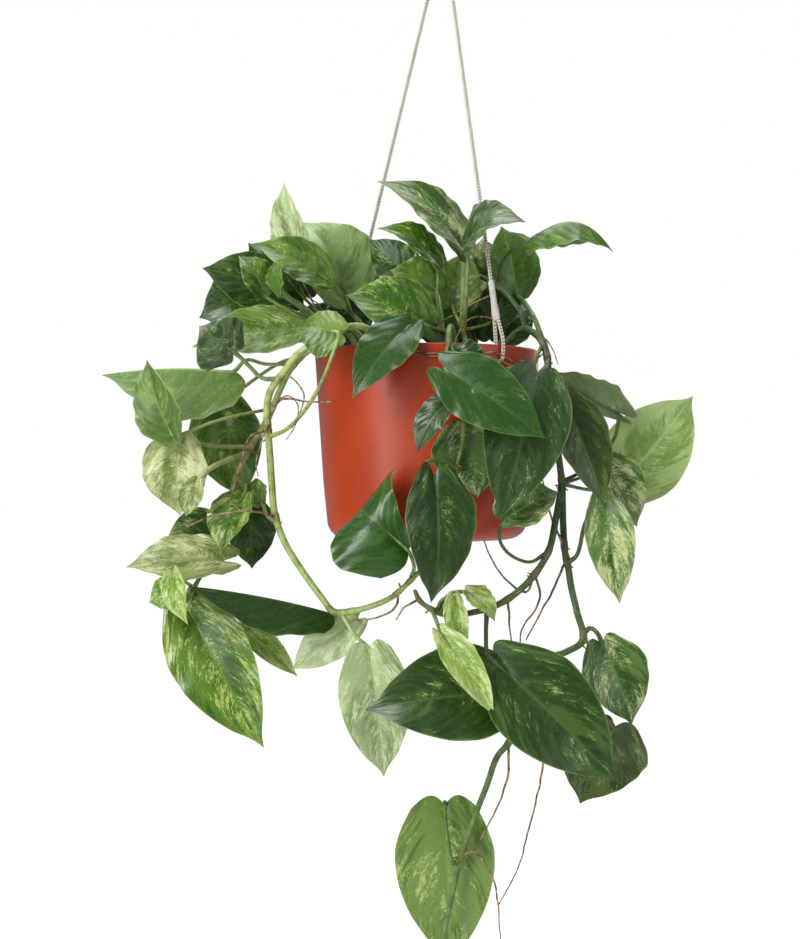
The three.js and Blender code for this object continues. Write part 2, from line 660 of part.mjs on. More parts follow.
function turned(profile, sides) {
  const lathe = new THREE.LatheGeometry(profile.map(([r, z]) => new THREE.Vector2(r, z)), sides);
  lathe.rotateX(Math.PI / 2);
  return solidOf(lathe);
}

function rod(radius, length, sides) {
  return new THREE.CylinderGeometry(radius, radius, length, sides).rotateX(Math.PI / 2);
}

const eyeSides = { left: radians(eyeAngles.left), right: radians(eyeAngles.right) };

function pot() {
  const footMiddle = potFootRadius - potFootRound;
  const innerRound = potFootRound - potWall;
  const lip = potWall / 2;
  const lipMiddle = [potRimRadius - lip, potHeight - lip];
  const profile = [
    [0, 0],
    ...arcPoints([footMiddle, potFootRound], potFootRound, -90, 0, 3),
    ...arcPoints(lipMiddle, lip, 0, 180, 2),
    ...arcPoints([footMiddle, potFloor + innerRound], innerRound, 0, -90, 2),
    [0, potFloor],
  ];
  let body = turned(profile, potSides);
  for (let i = 0; i < drainHoleCount; i += 1) {
    const turn = 2 * Math.PI * i / drainHoleCount;
    const hole = rod(drainHoleRadius, 4 * potFloor, 8);
    hole.translate(drainHoleRing * Math.cos(turn), drainHoleRing * Math.sin(turn), 0);
    body = body.subtract(solidOf(hole));
  }
  Object.values(eyeSides).forEach((turn) => {
    const hole = rod(eyeHoleRadius, 8 * potWall, 10).rotateY(Math.PI / 2);
    hole.translate(potRadiusAt(eyeHoleHeight) - potWall / 2, 0, eyeHoleHeight).rotateZ(turn);
    body = body.subtract(solidOf(hole));
  });
  return body;
}

function pottingMix(holes) {
  const innerRound = potFootRound - potWall;
  const footMiddle = potFootRadius - potFootRound - soilGap;
  const edge = soilTop - soilEdgeDrop;
  const profile = [
    [0, potFloor + soilGap],
    ...arcPoints([footMiddle, potFloor + soilGap + innerRound], innerRound, -90, 0, 2),
    [potRadiusAt(edge) - potWall - 2 * soilGap, edge],
    [potRadiusAt(edge) * 0.7, soilTop],
    [0, soilTop + soilRise],
  ];
  let body = turned(profile, potSides);
  holes.forEach(([x, y]) => {
    const hole = rod(stemHoleRadius, 2 * stemHoleDepth, 7);
    hole.translate(x, y, soilTop);
    body = body.subtract(solidOf(hole));
  });
  return body;
}

// Each rope leg ends in an eye that goes through a hole in the pot's wall and back over the rim
function ropeSide(turn) {
  const outward = new THREE.Vector3(Math.cos(turn), Math.sin(turn), 0);
  const wallRadius = potRadiusAt(eyeHoleHeight) - potWall / 2;
  const inPlane = (q, z) => outward.clone().multiplyScalar(wallRadius + q).setZ(z);
  const neck = inPlane(0, eyeTop);
  const upward = vec(apex).sub(neck).normalize();
  const spread = outward.clone().addScaledVector(upward, -outward.dot(upward)).normalize();
  const whippingFoot = neck.clone().addScaledVector(upward, whippingRise);
  const whippingHead = whippingFoot.clone().addScaledVector(upward, whippingLength);
  const eyeEnd = whippingFoot.clone().addScaledVector(upward, -1.5 * touch);
  const bend = arcPoints([0, eyeHoleHeight + eyeBend], eyeBend, 0, -180, 6).map(([q, z]) => inPlane(q, z));
  const eye = [
    eyeEnd.clone().addScaledVector(spread, eyeSpread),
    inPlane(eyeBend + 0.4, eyeTop), ...bend, inPlane(-eyeBend, eyeTop),
    eyeEnd.clone().addScaledVector(spread, -eyeSpread),
  ];
  const legFoot = whippingHead.clone().addScaledVector(upward, touch);
  const legHead = vec(apex).addScaledVector(upward, -legsMeetBelowApex);
  return { eye, whipping: [whippingFoot, whippingHead], leg: [legFoot, legHead] };
}

function ropeLeg([foot, head]) {
  const points = Array.from({ length: legSteps + 1 }, (_, i) => foot.clone().lerp(head, i / legSteps));
  return tubeAlong(points, ropeRadius, ropeSides);
}

function topKnot() {
  const shoulder = knotRadius * knotShoulder;
  const top = knotBottom + knotHeight;
  const slope = knotShoulderHeight * knotHeight;
  const profile = [
    [0, knotBottom], [shoulder, knotBottom], [knotRadius, knotBottom + slope],
    [knotRadius, top - slope], [shoulder, top], [0, top],
  ];
  const knot = turned(profile, knotSides);
  return geometryOf(knot).translate(apex[0], apex[1], 0);
}

function hangingLoop() {
  const foot = knotBottom + knotHeight + 3 * touch;
  const crown = loopTop - ropeRadius - loopHalfWidth;
  const middle = (foot + crown) / 2;
  const bow = arcPoints([0, crown], loopHalfWidth, 0, 180, 6);
  const half = loopHalfWidth;
  const side = [[loopFootHalfWidth, foot], [half, middle], ...bow, [-half, middle], [-loopFootHalfWidth, foot]];
  const points = side.map(([x, z]) => vec([apex[0] + x, apex[1], z]));
  return tubeAlong(points, ropeRadius, ropeSides, loopSteps);
}

// Materials

const finishes = {
  pot: new THREE.MeshStandardMaterial({ color: 0xb34a24, roughness: 0.5, metalness: 0 }),
  soil: new THREE.MeshStandardMaterial({ color: 0x2c2018, roughness: 1, metalness: 0 }),
  rope: new THREE.MeshStandardMaterial({ color: 0xdcd3c4, roughness: 0.9, metalness: 0 }),
  darkVine: new THREE.MeshStandardMaterial({ color: 0x3d6b2c, roughness: 0.45, metalness: 0 }),
  marbledVine: new THREE.MeshStandardMaterial({ color: 0x7fa257, roughness: 0.45, metalness: 0 }),
  paleVine: new THREE.MeshStandardMaterial({ color: 0xa9bf7c, roughness: 0.5, metalness: 0 }),
};

// The assembly

const hanger = new THREE.Group();
const plant = new THREE.Group();
plant.position.set(-apex[0], -apex[1], -loopTop);
hanger.add(plant);

function place(name, geometry, finish) {
  const mesh = new THREE.Mesh(geometry, finishes[finish].clone());
  mesh.name = name;
  plant.add(mesh);
}

const vines = {
  vine_left_garland: { plan: leftGarland, finish: 'marbledVine' },
  vine_left_bunch: { plan: leftBunch, finish: 'paleVine' },
  vine_crown_left: { plan: crownLeft, finish: 'darkVine' },
  vine_crown_left_rear: { plan: crownLeftBack, finish: 'marbledVine' },
  vine_crown_middle: { plan: crownMiddle, finish: 'darkVine' },
  vine_crown_right: { plan: crownRight, finish: 'marbledVine' },
  vine_right_trail: { plan: rightTrail, finish: 'darkVine' },
  vine_front: { plan: frontStem, finish: 'darkVine' },
};

place('pot', geometryOf(pot()), 'pot');
const frontHoles = Object.values(vines).map(({ plan }) => plan.stems[0].soil);
const backHoles = backStems.map(({ soil }) => soil);
place('potting_mix', geometryOf(pottingMix([...frontHoles, ...backHoles])), 'soil');
Object.entries(vines).forEach(([name, { plan, finish }]) => place(name, geometryOf(vine(plan)), finish));
backStems.forEach((plan, i) => place(`vine_back_${i + 1}`, geometryOf(backVine(plan)), 'darkVine'));
Object.entries(eyeSides).forEach(([side, turn]) => {
  const { eye, whipping, leg } = ropeSide(turn);
  place(`rope_leg_${side}`, ropeLeg(leg), 'rope');
  place(`rope_whipping_${side}`, tubeAlong(whipping, whippingRadius, whippingSides, 1), 'rope');
  place(`rope_eye_${side}`, tubeAlong(eye, ropeRadius, ropeSides, eyeSteps), 'rope');
});
place('top_knot', topKnot(), 'rope');
place('hanging_loop', hangingLoop(), 'rope');

export default hanger;
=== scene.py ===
"""Marble queen pothos in a hanging pot: the dressed model, its lights and its camera.

Every size below is in millimetres from the middle of the pot's foot, front towards -Y.
PLACE takes a finished mesh from there to metres in the part's frame, whose origin is the
top of the hanging loop.
"""

import logging
import math
from dataclasses import dataclass, field
from enum import Enum
from typing import Callable, Iterator, Optional, Sequence, Union

import bmesh
import bpy
from mathutils import Matrix, Vector, noise


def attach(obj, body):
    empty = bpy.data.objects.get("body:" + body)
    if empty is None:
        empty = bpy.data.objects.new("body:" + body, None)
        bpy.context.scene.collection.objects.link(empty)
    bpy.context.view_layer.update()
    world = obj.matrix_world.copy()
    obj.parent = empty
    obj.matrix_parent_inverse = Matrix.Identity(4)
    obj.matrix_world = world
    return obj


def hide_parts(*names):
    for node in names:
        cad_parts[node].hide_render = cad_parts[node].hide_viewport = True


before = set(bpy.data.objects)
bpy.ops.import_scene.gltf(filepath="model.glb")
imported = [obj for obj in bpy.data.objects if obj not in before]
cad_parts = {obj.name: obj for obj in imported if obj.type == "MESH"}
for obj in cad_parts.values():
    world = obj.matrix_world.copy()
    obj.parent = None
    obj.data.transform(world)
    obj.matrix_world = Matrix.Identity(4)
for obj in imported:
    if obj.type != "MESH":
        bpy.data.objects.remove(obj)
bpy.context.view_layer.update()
LOG = logging.getLogger("hanging_pothos")

Pixel = tuple[float, float, float]
Colour = tuple[int, int, int]
Grid = dict[tuple[int, int], bmesh.types.BMVert]
Socket = bpy.types.NodeSocket
Node = bpy.types.Node
Tree = bpy.types.NodeTree
Material = bpy.types.Material
Piece = bpy.types.Object

MM = 0.001
APEX = Vector((11.7, 0.0, 424.0))
LOOP_TOP = 460.0
PLACE = Matrix.Scale(MM, 4) @ Matrix.Translation(Vector((-APEX.x, 0.0, -LOOP_TOP)))

PICTURE_MIDDLE = (400.0, 469.5)
SCALE_AT_AXIS = 0.7
EYE = Vector((-18.9, -1000.0, 48.0))

POT_HEIGHT = 130.0
POT_RIM_RADIUS = 78.4
POT_FOOT_RADIUS = 69.8
POT_WALL = 2.4
SOIL_TOP = 117.0
STEM_FOOT_DEPTH = 15.65
STEM_COLLAR = 3.0
ROPE_RADIUS = 1.5
EYE_HOLE_HEIGHT = 119.0
EYE_HOLE_ANGLES = (143.4, -52.7)
NOISE_SEED = 7
STUB_BROWN: Colour = (120, 84, 48)
WHITE = (1.0, 1.0, 1.0, 1.0)
SIDE_VEINS = 8
VEIN_LEAN = 0.34
VEIN_BEND = 1.25


def seen(spot: Union[Pixel, Vector]) -> Vector:
    """Turn a place in the front picture into millimetres.

    Args:
        spot: The pixel and the depth (u, v, y), or a place that is in millimetres already.

    Returns:
        The place in millimetres.
    """
    if isinstance(spot, Vector):
        return spot.copy()
    u, v, y = spot
    per_pixel = SCALE_AT_AXIS * (y - EYE.y) / -EYE.y
    return Vector((EYE.x + (u - PICTURE_MIDDLE[0]) * per_pixel, y,
                   EYE.z + (PICTURE_MIDDLE[1] - v) * per_pixel))


def linear(colour: Colour) -> tuple[float, float, float, float]:
    """Turn a screen colour of 0 to 255 into the linear colour that a shader takes."""
    parts = [c / 255 for c in colour]
    return (*(p / 12.92 if p <= 0.04045 else ((p + 0.055) / 1.055) ** 2.4 for p in parts), 1.0)


def pot_radius(height: float) -> float:
    """Give the pot's outer radius at a height above its foot."""
    return POT_FOOT_RADIUS + (POT_RIM_RADIUS - POT_FOOT_RADIUS) * height / POT_HEIGHT


def rolls(seed: int) -> Callable[[], float]:
    """Make a repeatable source of numbers from 0 to 1.

    Args:
        seed: The number that sets the row of values.

    Returns:
        A function that gives the next value.
    """
    state = seed * 2654435761 % 4294967296

    def draw() -> float:
        """Step the row of values on.

        Returns:
            The next value.
        """
        nonlocal state
        state = (state * 1664525 + 1013904223) % 4294967296
        return state / 4294967296

    return draw


def place_object(name: str, data: bpy.types.ID) -> Piece:
    """Make an object of a mesh, a lamp or a camera and put it into the scene.

    Args:
        name: Its name.
        data: What it holds.

    Returns:
        The object.
    """
    made = bpy.data.objects.new(name, data)
    bpy.context.scene.collection.objects.link(made)
    return made


class Route:
    """A smooth line through its points, as a stem, a stalk or a rope runs."""

    def __init__(self, points: Sequence[Vector], steps: int = 10) -> None:
        """Lay the line.

        Args:
            points: The points that it runs through.
            steps: The samples between two of them.
        """
        ends = [2 * points[0] - points[1], *points, 2 * points[-1] - points[-2]]
        self.samples = [ends[1].copy()]
        for k in range(len(points) - 1):
            self.samples += [self._between(ends[k:k + 4], i / steps) for i in range(1, steps + 1)]
        self.runs = [0.0]
        for a, b in zip(self.samples, self.samples[1:]):
            self.runs.append(self.runs[-1] + (b - a).length)
        self.length = self.runs[-1]

    @staticmethod
    def _between(four: Sequence[Vector], share: float) -> Vector:
        """Bend smoothly between the middle two of four points.

        Args:
            four: The points, of which the outer two only steer the bend.
            share: How far from the second to the third, from 0 to 1.

        Returns:
            The point.
        """
        gaps = [max((b - a).length ** 0.5, 1e-3) for a, b in zip(four, four[1:])]
        start = (four[1] - four[0]) / gaps[0] - (four[2] - four[0]) / (gaps[0] + gaps[1])
        start = (start + (four[2] - four[1]) / gaps[1]) * gaps[1]
        stop = (four[2] - four[1]) / gaps[1] - (four[3] - four[1]) / (gaps[1] + gaps[2])
        stop = (stop + (four[3] - four[2]) / gaps[2]) * gaps[1]
        rise = four[2] - four[1]
        return (four[1] + start * share + (3 * rise - 2 * start - stop) * share ** 2
                + (start + stop - 2 * rise) * share ** 3)

    def at(self, distance: float) -> Vector:
        """Give the point at a distance along the line.

        Args:
            distance: The run from the line's start, held within its ends.

        Returns:
            The point.
        """
        distance = min(max(distance, 0.0), self.length)
        k = next(i for i in range(1, len(self.runs)) if self.runs[i] >= distance)
        share = (distance - self.runs[k - 1]) / max(self.runs[k] - self.runs[k - 1], 1e-9)
        return self.samples[k - 1].lerp(self.samples[k], share)

    def stations(self, spacing: float) -> list[Vector]:
        """Give points that stand about the spacing apart, both ends among them."""
        count = max(2, round(self.length / spacing))
        return [self.at(self.length * i / count) for i in range(count + 1)]

    def nearest(self, place: Vector) -> tuple[float, float]:
        """Give the run to the sample nearest to a place, and how far off that sample is."""
        k = min(range(len(self.samples)), key=lambda i: (self.samples[i] - place).length)
        return self.runs[k], (self.samples[k] - place).length


def frames_along(centres: Sequence[Vector]) -> list[tuple[Vector, Vector]]:
    """Carry a pair of directions square to a line along it, without twisting them.

    Args:
        centres: The points of the line.

    Returns:
        The two directions at each point.
    """
    last = len(centres) - 1
    ways = [(centres[min(i + 1, last)] - centres[max(i - 1, 0)]).normalized()
            for i in range(last + 1)]
    side = ways[0].orthogonal().normalized()
    pairs = []
    for before, way in zip([ways[0], *ways], ways):
        side = before.rotation_difference(way) @ side
        side = (side - way * side.dot(way)).normalized()
        pairs.append((side, way.cross(side)))
    return pairs


class Shell:
    """A mesh in the making, with the surface data that its finishes read."""

    def __init__(self) -> None:
        """Start an empty mesh."""
        self.mesh = bmesh.new()
        self.surface = self.mesh.loops.layers.uv.new("surface")
        layers = self.mesh.verts.layers
        self.tone = layers.float_color.new("tone")
        self.wash = layers.float_color.new("wash")
        self.cream = layers.float_color.new("cream")
        self.shares = layers.float_vector.new("shares")
        self.facing = layers.float_vector.new("facing")

    def lattice(self, columns: int, rows: int) -> Grid:
        """Make a flat grid, to be bent into shape.

        Args:
            columns: The faces across it.
            rows: The faces along it.

        Returns:
            Its vertices by column and row.
        """
        made = bmesh.ops.create_grid(self.mesh, x_segments=columns, y_segments=rows, size=1.0)
        return {(round((v.co.x + 1) / 2 * columns), round((v.co.y + 1) / 2 * rows)): v
                for v in made["verts"]}

    def map_faces(self, grid: Grid, chart: Callable[[int, int], tuple[float, float]],
                  slot: int) -> None:
        """Write the surface map of a grid's faces and give them a finish.

        Args:
            grid: The vertices by column and row.
            chart: The place on the map of a column and row.
            slot: The finish's number.
        """
        spots = {vert: key for key, vert in grid.items()}
        for face in {f for vert in grid.values() for f in vert.link_faces}:
            face.material_index = slot
            for loop in face.loops:
                loop[self.surface].uv = chart(*spots[loop.vert])

    def sweep(self, centres: Sequence[Vector], radii: Sequence[float], sides: int,
              tone: Colour = (128, 128, 128), scars: Optional[Sequence[float]] = None,
              slot: int = 0, end_tone: Optional[Colour] = None) -> None:
        """Make a closed round tube with rounded ends.

        Args:
            centres: The points of its middle line.
            radii: Its radius at each of them.
            sides: The faces round it.
            tone: Its colour.
            scars: How much of a leaf scar there is at each point.
            slot: The finish's number.
            end_tone: The colour that it turns to at its end.
        """
        scars = list(scars or [0.0] * len(centres))
        head = (centres[0] - centres[1]).normalized() * radii[0]
        tail = (centres[-1] - centres[-2]).normalized() * radii[-1]
        lines = [centres[0] + head * 0.8, centres[0] + head * 0.55, *centres,
                 centres[-1] + tail * 0.55, centres[-1] + tail * 0.8]
        widths = [0.0, radii[0] * 0.7, *radii, radii[-1] * 0.7, 0.0]
        scars = [scars[0]] * 2 + scars + [scars[-1]] * 2
        pairs = frames_along(lines)
        rows = len(lines) - 1
        grid = self.lattice(sides, rows)
        runs = [0.0]
        for a, b in zip(lines, lines[1:]):
            runs.append(runs[-1] + (b - a).length)
        first, last = Vector(linear(tone)), Vector(linear(end_tone or tone))
        for (i, j), vert in grid.items():
            turn = 2 * math.pi * i / sides
            ring = pairs[j][0] * math.cos(turn) + pairs[j][1] * math.sin(turn)
            vert.co = lines[j] + ring * widths[j]
            vert[self.tone] = first.lerp(last, (j / rows) ** 2)
            vert[self.shares] = (scars[j], 0.0, 0.0)
        self.map_faces(grid, lambda i, j: (i / sides, runs[j]), slot)
        weld = {grid[sides, j]: grid[0, j] for j in range(1, rows)}
        weld.update({grid[i, j]: grid[0, j] for i in range(1, sides + 1) for j in (0, rows)})
        bmesh.ops.weld_verts(self.mesh, targetmap=weld)

    def turn(self, section: Sequence[tuple[float, float]], sides: int) -> None:
        """Turn a section once round the pot's axis and close it.

        Args:
            section: Its points, as radius and height.
            sides: The faces round it.
        """
        verts = [self.mesh.verts.new((r, 0, z)) for r, z in section]
        edges = [self.mesh.edges.new(pair) for pair in zip(verts, verts[1:])]
        bmesh.ops.spin(self.mesh, geom=verts + edges, cent=(0, 0, 0), axis=(0, 0, 1),
                       dvec=(0, 0, 0), angle=2 * math.pi, steps=sides, use_merge=True)
        bmesh.ops.remove_doubles(self.mesh, verts=self.mesh.verts, dist=1e-3)

    def braid(self, route: Route, radius: float = ROPE_RADIUS) -> None:
        """Plait a rope of eight strands along a route, round a core.

        Args:
            route: The rope's middle line.
            radius: Its outer radius.
        """
        strand, lift = radius * 0.32, radius * 0.15
        middle = radius - strand - lift
        pitch = radius * 6.0
        centres = route.stations(pitch / 12)
        pairs = frames_along(centres)
        turn = 2 * math.pi * route.length / pitch / (len(centres) - 1)
        for k in range(8):
            way = 1 if k % 2 == 0 else -1
            start = 2 * math.pi * (k // 2) / 4
            line = []
            for j, (centre, (side, out)) in enumerate(zip(centres, pairs)):
                angle = way * (turn * j) + start
                reach = middle + way * lift * math.cos(4 * angle)
                line.append(centre + (side * math.cos(angle) + out * math.sin(angle)) * reach)
            # Strands that run the other way take the second, darker finish: painted shade of the
            # gaps between strands.
            self.sweep(line, [strand] * len(line), 5, slot=0 if way > 0 else 1)
        # The core takes the darker finish too: painted shade that shows through the gaps.
        core = route.stations(radius * 2)
        self.sweep(core, [middle] * len(core), 6, slot=1)

    def finish(self, name: str, finishes: Sequence[Material], nodes: Sequence[str], slot: str,
               crease: float = 48.0) -> Piece:
        """Turn the mesh into a named piece of the part.

        Args:
            name: The piece's name.
            finishes: Its materials, by the numbers that its faces hold.
            nodes: The solids that it stands for.
            slot: The finish of the part that it belongs with; not used.
            crease: The angle in degrees past which an edge stays crisp.

        Returns:
            The piece.
        """
        bmesh.ops.transform(self.mesh, matrix=PLACE, verts=self.mesh.verts)
        bmesh.ops.recalc_face_normals(self.mesh, faces=self.mesh.faces)
        data = bpy.data.meshes.new(name)
        self.mesh.to_mesh(data)
        self.mesh.free()
        data.shade_smooth()
        data.set_sharp_from_angle(angle=math.radians(crease))
        for material in finishes:
            data.materials.append(material)
        piece = place_object(name, data)
        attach(piece, "root")
        if nodes:
            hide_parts(*nodes)
        LOG.info("%s: %d faces", name, len(data.polygons))
        return piece


class Wires:
    """The wiring of the shader nodes of one material or group."""

    def __init__(self, tree: Tree) -> None:
        """Take the tree to wire."""
        self.tree = tree

    def add(self, kind: str, **settings: object) -> Node:
        """Place a node.

        Args:
            kind: The node's type.
            settings: Its settings by name.

        Returns:
            The node.
        """
        node = self.tree.nodes.new(kind)
        for name, value in settings.items():
            setattr(node, name, value)
        return node

    def feed(self, socket: Socket, value: object) -> None:
        """Give a socket a value, or link it to another socket.

        Args:
            socket: The input to fill.
            value: A plain value, or the output that it is linked to.
        """
        if isinstance(value, Socket):
            self.tree.links.new(value, socket)
        else:
            socket.default_value = value

    def sum(self, operation: str, *values: object, clamp: bool = False) -> Socket:
        """Work out one step of arithmetic.

        Args:
            operation: The Math node's operation.
            values: What it works on, plain or linked.
            clamp: Whether the result stays from 0 to 1.

        Returns:
            The result.
        """
        node = self.add("ShaderNodeMath", operation=operation, use_clamp=clamp)
        for socket, value in zip(node.inputs, values):
            self.feed(socket, value)
        return node.outputs[0]

    def times(self, first: object, second: object) -> Socket:
        """Multiply two numbers."""
        return self.sum("MULTIPLY", first, second)

    def plus(self, first: object, second: object) -> Socket:
        """Add two numbers."""
        return self.sum("ADD", first, second)

    def blend(self, share: object, first: object, second: object, kind: str = "MIX") -> Socket:
        """Mix two colours.

        Args:
            share: How much of the second there is.
            first: The first colour.
            second: The second colour.
            kind: The way of mixing.

        Returns:
            The mixed colour.
        """
        node = self.add("ShaderNodeMix", data_type="RGBA", blend_type=kind)
        for number, value in ((0, share), (6, first), (7, second)):
            self.feed(node.inputs[number], value)
        return node.outputs[2]

    def step(self, value: object, low: object, high: object, first: float = 0.0,
             last: float = 1.0) -> Socket:
        """Rise smoothly from one number to another between two marks.

        Args:
            value: What is compared with the marks.
            low: The lower mark.
            high: The upper mark.
            first: The number at the lower mark.
            last: The number at the upper mark.

        Returns:
            The number between them.
        """
        node = self.add("ShaderNodeMapRange", interpolation_type="SMOOTHSTEP")
        for socket, given in zip(node.inputs, (value, low, high, first, last)):
            self.feed(socket, given)
        return node.outputs[0]

    def spot(self, x: object, y: object, z: object) -> Socket:
        """Join three numbers into a place.

        Args:
            x: Its first number.
            y: Its second.
            z: Its third.

        Returns:
            The place.
        """
        node = self.add("ShaderNodeCombineXYZ")
        for socket, value in zip(node.inputs, (x, y, z)):
            self.feed(socket, value)
        return node.outputs[0]

    def cloud(self, place: Socket, scale: object, detail: float = 2.0,
              rough: float = 0.5) -> Socket:
        """Read a noise at a place.

        Args:
            place: The place.
            scale: How many clouds there are in a metre.
            detail: The layers of finer noise.
            rough: How strong the finer layers are.

        Returns:
            The noise's value.
        """
        node = self.add("ShaderNodeTexNoise")
        for name, value in (("Vector", place), ("Scale", scale), ("Detail", detail),
                            ("Roughness", rough)):
            self.feed(node.inputs[name], value)
        return node.outputs[0]

    def here(self) -> Socket:
        """Give the place on the piece."""
        return self.add("ShaderNodeTexCoord").outputs["Object"]

    def stored(self, name: str, output: str = "Color") -> Socket:
        """Give a value that the mesh holds."""
        return self.add("ShaderNodeAttribute", attribute_name=name).outputs[output]

    def chart(self) -> tuple[Socket, Socket]:
        """Read the piece's surface map.

        Returns:
            Its two numbers.
        """
        uv = self.add("ShaderNodeUVMap", uv_map="surface").outputs[0]
        split = self.add("ShaderNodeSeparateXYZ")
        self.feed(split.inputs[0], uv)
        return split.outputs[0], split.outputs[1]

    def group(self, tree: Tree, **inputs: object) -> Node:
        """Place a shared group.

        Args:
            tree: The group.
            inputs: Its own values by name.

        Returns:
            The group's node.
        """
        node = self.add("ShaderNodeGroup", node_tree=tree)
        for name, value in inputs.items():
            self.feed(node.inputs[name.replace("_", " ").title()], value)
        return node

    def relief(self, height: Socket, depth: float, strength: float = 1.0) -> Socket:
        """Turn a height into a bumped normal.

        Args:
            height: The height.
            depth: How far a height of 1 stands out, in metres.
            strength: How strongly it shows.

        Returns:
            The normal.
        """
        node = self.add("ShaderNodeBump")
        for name, value in (("Strength", strength), ("Distance", depth), ("Height", height)):
            self.feed(node.inputs[name], value)
        return node.outputs[0]


def new_group(name: str, inputs: Sequence[str],
              outputs: Sequence[str]) -> tuple[Wires, dict[str, Socket], Node]:
    """Start a shader group whose sockets are all numbers.

    Args:
        name: The group's name.
        inputs: The names of what it takes.
        outputs: The names of what it gives.

    Returns:
        Its wires, its inputs by name and its output node.
    """
    tree = bpy.data.node_groups.new(name, "ShaderNodeTree")
    for label in inputs:
        tree.interface.new_socket(label, in_out="INPUT", socket_type="NodeSocketFloat")
    for label in outputs:
        tree.interface.new_socket(label, in_out="OUTPUT", socket_type="NodeSocketFloat")
    wires = Wires(tree)
    start, stop = wires.add("NodeGroupInput"), wires.add("NodeGroupOutput")
    return wires, {label: start.outputs[label] for label in inputs}, stop


def marbling_group() -> Tree:
    """Build the marbling of a leaf: cream and washed areas that run with its side veins.

    Returns:
        The group.
    """
    wires, given, stop = new_group("marbling",
                                   ["Across", "Along", "Seed", "Cream Share", "Wash Share"],
                                   ["Cream", "Wash", "Midrib", "Vein", "Margin"])
    side = wires.sum("ABSOLUTE", given["Across"])
    half = wires.sum("SIGN", given["Across"])
    lean = wires.times(wires.sum("POWER", side, VEIN_BEND), VEIN_LEAN)
    vein = wires.sum("SUBTRACT", given["Along"], lean)
    offset = wires.plus(wires.times(given["Seed"], 61.0),
                        wires.times(half, 3.7))

    def drift(lengthwise: float, sideways: float, layer: float, detail: float,
              rough: float) -> Socket:
        """Read a noise that is stretched along the side veins.

        Args:
            lengthwise: How fine it is from stalk to tip.
            sideways: How fine it is along a vein.
            layer: What sets it apart from the other noises.
            detail: The layers of finer noise.
            rough: How strong the finer layers are.

        Returns:
            The noise's value.
        """
        place = wires.spot(wires.times(vein, lengthwise),
                           wires.times(side, sideways),
                           wires.plus(offset, layer))
        return wires.cloud(place, 1.0, detail, rough)

    patch = drift(4.4, 1.9, 0.0, 2.0, 0.5)
    streak = drift(36.0, 5.0, 13.0, 4.0, 0.68)
    speck = drift(100.0, 24.0, 29.0, 2.0, 0.6)
    whole = wires.plus(wires.times(patch, 0.36),
                       wires.times(streak, 0.4))
    whole = wires.plus(whole, wires.times(speck, 0.24))
    tilt = wires.sum("SINE", wires.times(offset, 1.7))
    whole = wires.sum("MULTIPLY_ADD", wires.sum("SUBTRACT", whole, 0.5), 4.0, 0.5)
    whole = wires.plus(whole, wires.times(tilt, 0.1))
    bar = wires.sum("SUBTRACT", 1.0, given["Cream Share"])
    cream = wires.step(whole, wires.sum("SUBTRACT", bar, 0.08), wires.plus(bar, 0.26))
    near = wires.step(whole, wires.sum("SUBTRACT", bar, 0.34), wires.plus(bar, 0.02))
    other = wires.plus(wires.times(drift(2.6, 1.1, 41.0, 2.0, 0.5), 0.62),
                       wires.times(drift(17.0, 1.6, 57.0, 3.0, 0.65), 0.38))
    other = wires.sum("MULTIPLY_ADD", wires.sum("SUBTRACT", other, 0.5), 3.6, 0.5)
    other = wires.plus(other, wires.times(tilt, 0.16))
    mark = wires.sum("SUBTRACT", 1.0, given["Wash Share"])
    wash = wires.step(other, wires.sum("SUBTRACT", mark, 0.12), wires.plus(mark, 0.2))
    wash = wires.sum("MAXIMUM", wash, wires.times(near, 0.75))
    midrib = wires.step(side, 0.012, 0.05, 1.0, 0.0)
    shift = wires.cloud(wires.spot(wires.times(vein, 5.0), side, offset), 1.0, 2.0, 0.5)
    wave = wires.sum("MULTIPLY_ADD", wires.sum("SUBTRACT", shift, 0.5), 0.06, vein)
    wave = wires.sum("COSINE", wires.times(wave, 2 * math.pi * SIDE_VEINS))
    wave = wires.sum("MULTIPLY_ADD", wave, 0.5, 0.5)
    body = wires.times(wires.step(side, 0.02, 0.16),
                       wires.step(side, 0.8, 1.0, 1.0, 0.0))
    ridges = wires.times(wires.sum("POWER", wave, 0.7), body)
    for label, value in (("Cream", cream), ("Wash", wash), ("Midrib", midrib), ("Vein", ridges),
                         ("Margin", wires.step(side, 0.955, 1.0))):
        wires.feed(stop.inputs[label], value)
    return wires.tree


def mottle_group() -> Tree:
    """Build a mottle that many finishes share: broad clouds, fine grain and dust specks.

    Returns:
        The group.
    """
    wires, given, stop = new_group("mottle", ["Broad", "Fine"], ["Clouds", "Grain", "Dust"])
    here = wires.here()
    clouds = wires.cloud(here, given["Broad"], 3.0, 0.55)
    grain = wires.cloud(here, given["Fine"], 3.0, 0.6)
    dust = wires.cloud(here, wires.times(given["Fine"], 0.37), 2.0, 0.7)
    dust = wires.step(dust, 0.6, 0.75)
    for label, value in (("Clouds", clouds), ("Grain", grain), ("Dust", dust)):
        wires.feed(stop.inputs[label], value)
    return wires.tree


def new_material(name: str, roughness: float,
                 specular: float = 0.5) -> tuple[Material, Wires, Node]:
    """Start a material with its own shader.

    Args:
        name: Its name.
        roughness: Its roughness.
        specular: Its specular level.

    Returns:
        The material, its wires and its shader.
    """
    material = bpy.data.materials.new(name)
    material.use_nodes = True
    wires = Wires(material.node_tree)
    shader = next(n for n in material.node_tree.nodes if n.type == "BSDF_PRINCIPLED")
    shader.inputs["Roughness"].default_value = roughness
    shader.inputs["Specular IOR Level"].default_value = specular
    return material, wires, shader


